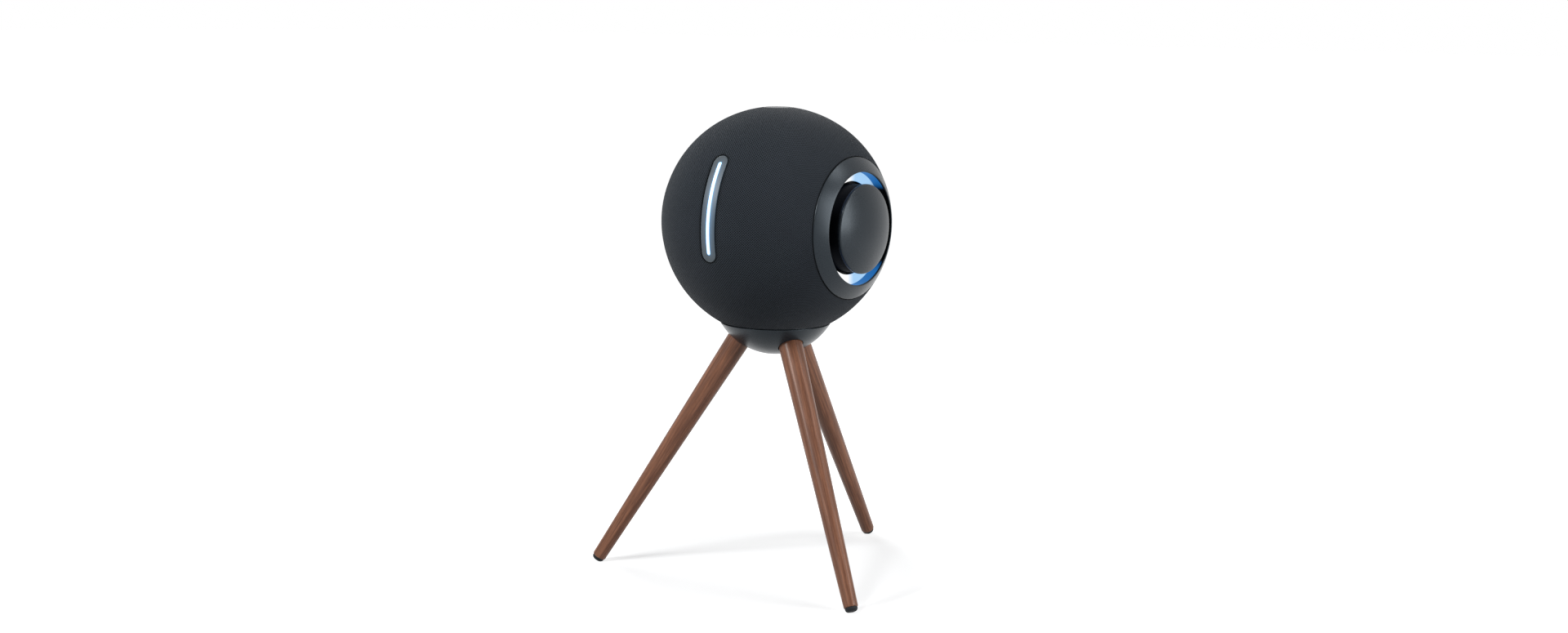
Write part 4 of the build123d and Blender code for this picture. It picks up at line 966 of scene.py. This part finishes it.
class SPEAKER_OT_suspension(Operator):
    """Rubber surrounds with an inward roll, and corrugated cloth spiders that centre the coils"""

    bl_idname = "speaker.suspension"
    bl_label = "Surrounds and spiders"

    def execute(self, context):
        bond = context.scene.speaker_side.cap - 0.5 * MM
        start = bond + 1.6 * MM
        roll = 3.4 * MM
        middle = start + roll
        inside = roll - SURROUND_WALL
        outside = girth("right_surround")
        turn = np.linspace(pi, 2 * pi, 25)
        half_circle = np.column_stack([np.cos(turn), np.sin(turn)])
        rubber = np.concatenate([
            half_circle * roll + (middle, SURROUND_SEAT),
            [(outside, SURROUND_SEAT), (outside, SURROUND_EDGE), (middle + inside, SURROUND_EDGE)],
            half_circle[::-1] * inside + (middle, SURROUND_SEAT),
            [(middle - inside, SURROUND_EDGE), (bond, SURROUND_EDGE), (bond, SURROUND_SEAT)],
        ])
        rim = girth("right_spider")
        for hand, sign in HANDS.items():
            fixed = {"axis": sign * RIGHT, "body": None}
            ring = round_piece(f"{hand}_roll", closed(rubber), "rubber", f"{hand}_surround", **fixed)
            follow_piston(ring)
            disc = round_piece(
                f"{hand}_centring_disc",
                closed(self.spider(rim)),
                "spider_cloth",
                f"{hand}_spider",
                segments=96,
                **fixed,
            )
            follow_piston(disc)
        return {"FINISHED"}

    def spider(self, rim):
        """Outline of the cloth disc: a sine across it, eased to level at its neck and its clamped rim."""
        half_wall, wave, pitch, ease = 0.2 * MM, 0.8 * MM, 5 * MM, 2 * MM
        across = np.linspace(NECK_R, rim, 121)
        clear = np.minimum(across - NECK_R - ease, rim - pitch - across)
        waves = wave * np.clip(clear / ease, 0, 1) * np.sin(2 * pi * (across - NECK_R) / pitch)
        level = (SPIDER_LOW + SPIDER_HIGH) / 2 + waves
        faces = [np.column_stack([across, level + lift]) for lift in (-half_wall, half_wall)]
        return np.concatenate([faces[0], faces[1][::-1]])


class SPEAKER_OT_tweeters(Operator):
    """Silk domes of the small drivers behind the fabric"""

    bl_idname = "speaker.tweeters"
    bl_label = "Tweeter domes"

    def execute(self, context):
        wall = 0.6 * MM
        curve = 20 * MM
        turn = radians(28)
        for hand, sign in HANDS.items():
            axis = aim(sign * turn)
            node = f"{hand}_tweeter_dome"
            low, high = reach(node, axis, CENTRE)
            wide = girth(node)
            lift = high - curve
            outline = rounded(
                *dome_run(curve, 0.0, wide - 1.5 * MM, 24, lift),
                (wide, lift + rise(curve, wide), 0.5 * MM),
                (wide, low),
                (wide - wall, low),
                *dome_run(curve - wall, wide - wall, 0.0, 16, lift),
            )
            moves = {"axis": axis, "body": f"{hand}_tweeter"}
            round_piece(f"{hand}_silk_dome", outline, "silk", node, segments=128, **moves)
        return {"FINISHED"}


# Light bar and button


def capsule_loop(half, width):
    """Whole capsule outline, anticlockwise from its lower end, with the same points on both sides."""
    right = capsule(half, width, side=40, bend=24)
    left = (right * (-1, 1))[::-1]
    return np.concatenate([right, left[1:]])


def bar_grid(scene, profile, halves):
    """Grid of a profile carried round capsules: (distance off the spine, sphere's radius) at each point.
    A capsule's point (u, v) is lifted to sqrt(R^2 - u^2 - v^2) along the bar's own axis."""
    tilt = scene.speaker_bar.latitude
    out = np.array([0.0, -cos(tilt), sin(tilt)])
    along = np.array([0.0, sin(tilt), cos(tilt)])
    loops = np.stack([capsule_loop(half, 2 * off) for (off, _), half in zip(profile, halves)], axis=1)
    lift = rise(profile[:, 1], np.hypot(loops[..., 0], loops[..., 1]))
    points = CENTRE + loops[..., :1] * RIGHT + loops[..., 1:] * along + lift[..., None] * out
    return points, loops


class SPEAKER_OT_light_bar(Operator):
    """Capsule-shaped bezel at the front with a lit strip in it"""

    bl_idname = "speaker.light_bar"
    bl_label = "Light bar"

    BODY_DEPTH = 5.8 * MM
    FLANGE_DEPTH = 4 * MM
    FLANGE = 3 * MM
    PAINTED_GLOW_REACH = 3 * MM
    PAINTED_GLOW_LEFT = 0.4  # of the painted glow at the right

    def execute(self, context):
        scene = context.scene
        ball, bar = scene.speaker_ball, scene.speaker_bar
        inner_half = (bar.strip_length - bar.strip_width) / 2
        outer_half = (bar.length - bar.width) / 2
        half_width = bar.strip_width / 2
        slot = half_width + 0.05 * MM
        edge = bar.width / 2
        back = ball.radius - self.BODY_DEPTH
        shelf = ball.radius - self.FLANGE_DEPTH
        profile = rounded(
            (slot, back),
            (slot, ball.radius, 0.35 * MM),
            *straight_run((slot, ball.radius), (edge, ball.radius), 8),
            (edge, ball.radius, 0.6 * MM),
            (edge, shelf),
            (edge + self.FLANGE, shelf),
            (edge + self.FLANGE, back),
        )
        profile = closed(profile)
        share = np.clip((profile[:, 0] - slot) / (edge - slot), 0, 1)
        points, loops = bar_grid(scene, profile, inner_half + (outer_half - inner_half) * share)
        # Painted light from the strip on the bezel: strongest at the slot, gone towards the bar's ends,
        # weaker on the left.
        painted_glow = np.exp(-(profile[:, 0] - slot) / self.PAINTED_GLOW_REACH) * (profile[:, 1] > shelf + 1 * MM)
        painted_glow = painted_glow * np.clip(1 - (loops[..., 1] / (bar.length / 2)) ** 2, 0, 1)
        painted_glow = painted_glow * np.where(loops[..., 0] > 0, 1.0, self.PAINTED_GLOW_LEFT)
        bezel = make_piece("bar_bezel", [points], {"glow": [painted_glow[..., None]]})
        dress(bezel, "bezel", "light_bar_bezel")

        face = ball.radius - bar.setback
        foot = back - 0.1 * MM
        foot_edge = half_width + 2 * MM
        foot_back = foot - 1.6 * MM
        strip = rounded(
            (0.0, face),
            *straight_run((0.0, face), (half_width, face), 6),
            (half_width, face, 0.3 * MM),
            (half_width, foot),
            (foot_edge, foot),
            (foot_edge, foot_back),
            (0.0, foot_back),
        )
        points, loops = bar_grid(scene, strip, np.full(len(strip), inner_half))
        across = np.broadcast_to(np.clip(strip[:, 0] / half_width, 0, 1), loops.shape[:2])
        diffuser = make_piece("bar_strip", [points], {"across": [across[..., None]]})
        dress(diffuser, "bar_light", "light_bar_diffuser")
        return {"FINISHED"}


class SPEAKER_OT_button(Operator):
    """Round button at the top, dished for the finger, with its stem"""

    bl_idname = "speaker.button"
    bl_label = "Top button"

    def execute(self, context):
        top = context.scene.speaker_top
        across = np.linspace(0.0, top.button - 2.5 * MM, 24)
        dish = BUTTON_TOP - top.dish * np.cos(across / across[-1] * pi / 2) ** 2
        under = BUTTON_TOP - top.thickness
        outline = rounded(
            *np.column_stack([across, dish]),
            (top.button, BUTTON_TOP, top.edge),
            (top.button, under, 0.3 * MM),
            (top.stem, under),
            (top.stem, STEM_END, 0.2 * MM),
            (0.0, STEM_END),
        )
        round_piece("button_cap", outline, "charcoal", "top_button", segments=128, body="button", **UPRIGHT)
        return {"FINISHED"}


# Cup, nut and inlet

HOLE_POINTS = 41  # along half of a leg's hole
GAP_POINTS = 30  # between two holes


def cup_sphere(scene):
    """Radius and centre height of the cup's sphere, which passes through the seam and its lowest point."""
    ball, cup = scene.speaker_ball, scene.speaker_cup
    radius = (ball.seam**2 + cup.depth**2) / (2 * cup.depth)
    return radius, SEAM_Z - cup.depth + radius


def leg_azimuths():
    """Azimuth of each leg, from the middle of its foot."""
    places = {}
    for node in sorted(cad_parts):
        foot = node.replace("leg_", "foot_")
        if node.startswith("leg_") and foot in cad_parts:
            low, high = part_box(foot)
            middle = (low + high) / 2
            places[node] = float(np.arctan2(middle.x, -middle.y))
    return places


def leg_axis(scene, azimuth):
    """Where the leg axes meet, and the unit vector down a leg."""
    leg = scene.speaker_leg
    apex = np.array([0.0, 0.0, cup_sphere(scene)[1] + leg.apex])
    return apex, sin(leg.tilt) * aim(azimuth) - cos(leg.tilt) * UP


def hole_outline(scene, radius, hole):
    """Outline of a leg's hole in a sphere of the cup, for a leg at azimuth 0: azimuth and height angle.
    A line along the leg at the hole's radius meets the sphere where |start + s axis| is its radius."""
    centre = np.array([0.0, 0.0, cup_sphere(scene)[1]])
    apex, down = leg_axis(scene, 0.0)
    over = np.cross(down, RIGHT)

    def meet(turn):
        start = apex - centre + hole * (np.sin(turn)[:, None] * RIGHT + np.cos(turn)[:, None] * over)
        dot = start @ down
        along = -dot + np.sqrt(dot**2 - (start**2).sum(1) + radius**2)
        point = start + along[:, None] * down
        return np.arctan2(point[:, 0], -point[:, 1]), np.arcsin(point[:, 2] / radius)

    dense = np.linspace(0, pi, 4001)
    widest = dense[np.argmax(meet(dense)[0])]
    upper = np.column_stack(meet(np.linspace(-widest, widest, HOLE_POINTS)))
    lower = np.column_stack(meet(np.linspace(2 * pi - widest, widest, HOLE_POINTS)))
    return upper, lower


def cup_shell(scene, radius, grow, top, bottom, rows):
    """Two grids of a cup's sphere, over and under the level where the leg holes are widest, and the holes.
    Each grid runs from that level, or from a hole's edge, to even places round a rim circle."""
    leg = scene.speaker_leg
    lift = cup_sphere(scene)[1]
    upper, lower = hole_outline(scene, radius, leg.top + leg.hole_gap + grow)
    third = 2 * pi / 3
    gap = np.linspace(upper[-1, 0], third + upper[0, 0], GAP_POINTS + 2)[1:-1]
    plain = np.column_stack([gap, np.full(GAP_POINTS, upper[0, 1])])
    stride = HOLE_POINTS + GAP_POINTS
    even = (np.arange(stride) - HOLE_POINTS // 2) * third / stride
    azimuths = sorted(leg_azimuths().values())
    share = np.linspace(0, 1, rows)
    grids = []
    for outline, rim in ((upper, top), (lower, bottom)):
        edge = np.concatenate([np.concatenate([outline, plain]) + (azimuth, 0.0) for azimuth in azimuths])
        edge = np.concatenate([edge, edge[:1] + (2 * pi, 0.0)])
        goal = np.concatenate([even + azimuth for azimuth in azimuths])
        goal = np.append(goal, goal[0] + 2 * pi)[:, None]
        about = edge[:, :1] + (goal - edge[:, :1]) * share
        height = edge[:, 1:] + (rim - edge[:, 1:]) * share
        points = radius * np.stack(
            [np.cos(height) * np.sin(about), -np.cos(height) * np.cos(about), np.sin(height)], axis=-1
        )
        points[-1] = points[0]
        grids.append(points + (0.0, 0.0, lift))
    spans = [slice(start, start + HOLE_POINTS) for start in range(0, stride * len(azimuths), stride)]
    holes = [np.concatenate([grids[0][span, 0], grids[1][span, 0][::-1][1:]]) for span in spans]
    return grids, holes


def carry_round(outline, rim):
    """Grid of an outline carried round the cup's axis with the azimuths of a rim's points."""
    out = unit(rim[:, :2])
    flat = outline[None, :, :1] * out[:, None]
    return np.concatenate([flat, np.broadcast_to(outline[None, :, 1:2], flat[..., :1].shape)], axis=-1)


class SPEAKER_OT_cup(Operator):
    """Cup under the ball with three leg holes, a clamping lip inside its rim and a boss for the nut"""

    bl_idname = "speaker.cup"
    bl_label = "Cup"

    def execute(self, context):
        scene = context.scene
        ball, cup = scene.speaker_ball, scene.speaker_cup
        radius, lift = cup_sphere(scene)
        inner = radius - cup.wall
        hole_edge = 0.35 * MM
        rim = SEAM_Z - cup.seam_gap
        start = rim - 1.2 * MM
        foot = CUP_FLAT + 0.6 * MM
        lip = ball.seam - 3.5 * MM
        lip_in = lip - 4 * MM
        lip_low = SEAM_Z - 4 * MM
        counterbore = cup.nut + cup.nut_gap
        bore = cup.inlet + 2.2 * MM
        boss = counterbore + 4.5 * MM
        boss_top = CUP_FLAT + 5.7 * MM
        levels = [np.arcsin((z - lift) / radius) for z in (start, foot)]
        inner_levels = [np.arcsin((lip_low - lift) / inner), np.arcsin(-rise(inner, boss) / inner)]
        outer_grids, outer_holes = cup_shell(scene, radius, hole_edge, *levels, rows=20)
        corner_holes = cup_shell(scene, radius, 0.0, *levels, rows=2)[1]
        middle_holes = cup_shell(scene, radius - hole_edge, 0.0, *levels, rows=2)[1]
        inner_grids, inner_holes = cup_shell(scene, inner, 0.0, *inner_levels, rows=12)
        top_outline = rounded(
            (rise(radius, start - lift), start),
            (rise(radius, rim - lift), rim, cup.rim_round),
            (lip, rim),
            (lip, CUP_TOP, 0.3 * MM),
            (lip_in, CUP_TOP, 0.3 * MM),
            (lip_in, lip_low),
            (rise(inner, lip_low - lift), lip_low),
        )
        bottom_outline = rounded(
            (rise(radius, foot - lift), foot),
            (counterbore, CUP_FLAT, 0.25 * MM),
            (counterbore, NUT_SEAT),
            (bore, NUT_SEAT),
            (bore, boss_top, 0.2 * MM),
            (boss, boss_top, 0.5 * MM),
            (boss, lift - rise(inner, boss)),
        )
        grids = outer_grids + inner_grids
        grids.append(carry_round(top_outline, outer_grids[0][:, -1]))
        grids.append(carry_round(bottom_outline, outer_grids[1][:, -1]))
        for rows in zip(outer_holes, corner_holes, middle_holes, inner_holes):
            grids.append(hem_rows(*rows))
        dress(make_piece("cup_shell", grids), "charcoal", "base_cup")
        return {"FINISHED"}


class SPEAKER_OT_inlet(Operator):
    """Nut flush with the cup's bottom, and the power inlet with its pin"""

    bl_idname = "speaker.inlet"
    bl_label = "Nut and inlet"

    def execute(self, context):
        cup = context.scene.speaker_cup
        bore = cup.inlet + 0.1 * MM
        neck = bore + 2 * MM
        nut = rounded(
            (bore, CUP_FLAT, 0.25 * MM),
            (cup.nut, CUP_FLAT, 0.4 * MM),
            (cup.nut, NUT_SEAT),
            (neck, NUT_SEAT),
            (neck, NUT_TOP, 0.3 * MM),
            (bore, NUT_TOP),
        )
        round_piece("inlet_nut", closed(nut), "charcoal", "base_nut", segments=128, **UPRIGHT)
        floor = INLET_LOW + 10.5 * MM
        pin = 1 * MM
        pin_end = floor - 9.5 * MM
        body = rounded(
            (0.0, INLET_TOP),
            (cup.inlet, INLET_TOP, 0.3 * MM),
            (cup.inlet, CUP_FLAT, 0.3 * MM),
            (cup.nose, CUP_FLAT),
            (cup.nose, INLET_LOW, 0.25 * MM),
            (cup.mouth, INLET_LOW, 0.25 * MM),
            (cup.mouth, floor),
            (pin, floor),
            (pin, pin_end, 0.5 * MM),
            (0.0, pin_end),
        )
        round_piece("inlet_socket", body, "black_plastic", "power_inlet", segments=96, **UPRIGHT)
        return {"FINISHED"}


# Legs and feet

LEG_SEGMENTS = 96
GRAIN_SHIFT = np.array([0.011, 0.017, 0.7])  # from one leg's wood to the next


def leg_span(scene):
    """Distances down a leg's axis from where the axes meet: top and end of the wood."""
    leg = scene.speaker_leg
    radius = cup_sphere(scene)[0]
    apex = leg_axis(scene, 0.0)[0][2]
    surface = leg.apex * cos(leg.tilt) + rise(radius, leg.apex * sin(leg.tilt))
    end = apex / cos(leg.tilt) - (leg.foot_lift + leg.tip * sin(leg.tilt)) / cos(leg.tilt)
    return surface - leg.insert, end


class SPEAKER_OT_legs(Operator):
    """Tapered walnut legs with blind holes for the stud and the foot's pin"""

    bl_idname = "speaker.legs"
    bl_label = "Legs"

    def execute(self, context):
        scene = context.scene
        leg = scene.speaker_leg
        top, end = leg_span(scene)
        stud, stud_end = 4.05 * MM, top + 30 * MM
        pin, pin_end = 2.6 * MM, end - 9.1 * MM
        outline = rounded(
            (0.0, stud_end),
            (stud, stud_end),
            (stud, top),
            (leg.top, top, 0.3 * MM),
            *straight_run((leg.top, top), (leg.tip, end), 60),
            (leg.tip, end, leg.edge),
            (pin, end),
            (pin, pin_end),
            (0.0, pin_end),
        )
        for k, (node, azimuth) in enumerate(leg_azimuths().items()):
            apex, down = leg_axis(scene, azimuth)
            grid = turned(outline, apex, down, LEG_SEGMENTS)
            side = unit(np.cross(down, aim(azimuth)))
            axes = np.column_stack([side, np.cross(down, side), down])
            grain = (grid - apex) @ axes + GRAIN_SHIFT * (k + 1)
            dress(make_piece(node.replace("leg_", "wood_"), [grid], {"grain": [grain]}), "wood", node)
        return {"FINISHED"}


class SPEAKER_OT_feet(Operator):
    """Round rubber feet, pinned into the legs and cut level with the floor"""

    bl_idname = "speaker.feet"
    bl_label = "Feet"

    def execute(self, context):
        scene = context.scene
        leg = scene.speaker_leg
        end = leg_span(scene)[1]
        wide = leg.tip - leg.foot_inset
        pin, pin_end = 2.5 * MM, end - 9 * MM
        over_floor = leg.foot_round - leg.foot_flat + (wide - leg.foot_round) * sin(leg.tilt)
        for node, azimuth in leg_azimuths().items():
            apex, down = leg_axis(scene, azimuth)
            tip = (apex[2] - over_floor) / cos(leg.tilt) + leg.foot_round
            outline = rounded(
                (0.0, pin_end),
                (pin, pin_end, 0.3 * MM),
                (pin, end),
                (wide, end, 0.2 * MM),
                (wide, tip, leg.foot_round),
                *straight_run((wide - leg.foot_round, tip), (0.0, tip), 3),
                (0.0, tip),
                steps=12,
            )
            grid = turned(outline, apex, down, LEG_SEGMENTS)
            grid[..., 2] = np.maximum(grid[..., 2], 0.0)
            piece = make_piece(node.replace("leg_", "rubber_foot_"), [grid])
            dress(piece, "rubber", node.replace("leg_", "foot_"))
        return {"FINISHED"}


class SPEAKER_OT_inner_finishes(Operator):
    """Procedural finishes on the CAD nodes that stay"""

    bl_idname = "speaker.inner_finishes"
    bl_label = "Inner finishes"

    def execute(self, context):
        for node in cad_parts.values():
            for slot in node.material_slots:
                slot.material = finish(slot.material.name.split(".")[0])
        return {"FINISHED"}


# Stage

LAMP_DISTANCE = 2.2
LAMP_TARGET = np.array([0.0, 0.0, BALL_Z * 0.8])
FLOOR_HALF = 30.0
FLOOR_COLOUR = (0.42, 0.426, 0.432, 1.0)
GLOW_START, GLOW_END = 0.15, 0.25  # the floor grows white between these distances from the origin
LAMPS = {  # degrees from the camera's azimuth, degrees up and metres across
    "key": (-35, 50, 0.25),
    "left": (-59, 31, 0.4),
    "right": (62, 12, 1.2),
    "high": (81, 45, 0.6),
    "back": (-150, 30, 1.0),
}


def white_where_seen(tree):
    """1 for what the camera sees, straight or in gloss and glass."""
    path = add(tree, "ShaderNodeLightPath", {}).outputs
    seen = maths(tree, "MAXIMUM", path["Is Camera Ray"], path["Is Glossy Ray"])
    return maths(tree, "MAXIMUM", seen, path["Is Transmission Ray"])


def stand(thing, right, up, back, place_at):
    """Put a lamp or a camera at a place, with its three axes."""
    axes = np.column_stack([right, up, back, place_at])
    thing.matrix_world = Matrix([*axes.tolist(), (0.0, 0.0, 0.0, 1.0)])


def tilted(first, second, turn):
    """Two square directions, with the first turned towards the second."""
    return first * cos(turn) + second * sin(turn), second * cos(turn) - first * sin(turn)


class SPEAKER_OT_stage(Operator):
    """White floor, soft studio light and the camera"""

    bl_idname = "speaker.stage"
    bl_label = "Stage"

    def execute(self, context):
        scene = context.scene
        stage = scene.speaker_stage
        self.make_floor(stage)
        self.make_world(scene, stage)
        for name, (turn, lift, wide) in LAMPS.items():
            self.make_lamp(name, stage.azimuth + radians(turn), radians(lift), wide, stage)
        self.make_camera(scene, stage)
        scene.view_settings.view_transform = "Standard"
        return {"FINISHED"}

    def make_floor(self, stage):
        """Wide level square that keeps the object's shadow and is white where it is lit."""
        mesh = bpy.data.meshes.new("floor")
        corners = [(x * FLOOR_HALF, y * FLOOR_HALF, 0.0) for x, y in ((-1, -1), (1, -1), (1, 1), (-1, 1))]
        mesh.from_pydata(corners, [], [(0, 1, 2, 3)])
        material = bpy.data.materials.new("white_floor")
        material.use_nodes = True
        tree = material.node_tree
        tree.nodes.clear()
        matt = add(tree, "ShaderNodeBsdfDiffuse", {"Color": FLOOR_COLOUR})
        away = add(tree, "ShaderNodeVectorMath", {0: place(tree)}, operation="LENGTH").outputs["Value"]
        white = remap(tree, away, GLOW_START, GLOW_END, stage.floor_glow, 1.0)
        strength = maths(tree, "MULTIPLY", white_where_seen(tree), white)
        glow = add(tree, "ShaderNodeEmission", {"Strength": strength})
        both = add(tree, "ShaderNodeAddShader", {0: matt.outputs[0], 1: glow.outputs[0]})
        add(tree, "ShaderNodeOutputMaterial", {"Surface": both.outputs[0]})
        mesh.materials.append(material)
        in_scene("floor", mesh)

    def make_world(self, scene, stage):
        """Even light all round, white where the camera sees it."""
        world = bpy.data.worlds.new("studio")
        world.use_nodes = True
        tree = world.node_tree
        strength = remap(tree, white_where_seen(tree), 0.0, 1.0, stage.ambient, 1.0, "LINEAR")
        feed(tree, tree.nodes["Background"].inputs, {"Color": (*WHITE, 1.0), "Strength": strength})
        scene.world = world

    def make_lamp(self, name, azimuth, elevation, wide, stage):
        """Soft square light that faces the object's middle."""
        data = bpy.data.lights.new(f"{name}_light", "AREA")
        data.size = wide
        data.energy = getattr(stage, f"{name}_power")
        back = cos(elevation) * aim(azimuth) + sin(elevation) * UP
        across = unit(np.cross(UP, back))
        lamp = in_scene(f"{name}_light", data)
        stand(lamp, across, np.cross(back, across), back, LAMP_TARGET + LAMP_DISTANCE * back)

    def make_camera(self, scene, stage):
        """Camera turned by yaw, then pitch, then roll, from looking level at the ball's axis."""
        out = aim(stage.azimuth)
        ahead, right = tilted(-out, np.cross(-out, UP), stage.yaw)
        ahead, up = tilted(ahead, UP, stage.pitch)
        right, up = tilted(right, up, stage.roll)
        data = bpy.data.cameras.new("camera")
        data.sensor_fit = "HORIZONTAL"
        data.lens = stage.focal / IMAGE_WIDTH * data.sensor_width
        data.clip_end = 100.0
        scene.camera = in_scene("camera", data)
        stand(scene.camera, right, up, -ahead, CENTRE + stage.distance * out + stage.height * UP)


OPERATORS = (
    SPEAKER_OT_fabric,
    SPEAKER_OT_rings,
    SPEAKER_OT_light_rings,
    SPEAKER_OT_caps,
    SPEAKER_OT_suspension,
    SPEAKER_OT_tweeters,
    SPEAKER_OT_light_bar,
    SPEAKER_OT_button,
    SPEAKER_OT_cup,
    SPEAKER_OT_inlet,
    SPEAKER_OT_legs,
    SPEAKER_OT_feet,
    SPEAKER_OT_inner_finishes,
    SPEAKER_OT_stage,
)


class SPEAKER_PT_panel(Panel):
    """Sizes, finishes and steps of the speaker"""

    bl_idname = "SPEAKER_PT_panel"
    bl_label = "Ball speaker"
    bl_space_type = "VIEW_3D"
    bl_region_type = "UI"
    bl_category = "Speaker"

    def draw(self, context):
        for key, group in SETTINGS.items():
            box = self.layout.box()
            box.label(text=group.__doc__)
            for name in group.__annotations__:
                box.prop(getattr(context.scene, key), name)
        for step in OPERATORS:
            self.layout.operator(step.bl_idname)


def register():
    for group in SETTINGS.values():
        bpy.utils.register_class(group)
    for key, group in SETTINGS.items():
        setattr(bpy.types.Scene, key, PointerProperty(type=group))
    for step in (*OPERATORS, SPEAKER_PT_panel):
        bpy.utils.register_class(step)


def unregister():
    for step in (SPEAKER_PT_panel, *reversed(OPERATORS)):
        bpy.utils.unregister_class(step)
    for key in SETTINGS:
        delattr(bpy.types.Scene, key)
    for group in reversed(SETTINGS.values()):
        bpy.utils.unregister_class(group)


def main():
    register()
    for step in OPERATORS:
        group, name = step.bl_idname.split(".")
        getattr(getattr(bpy.ops, group), name)()


if __name__ == "__main__":
    main()
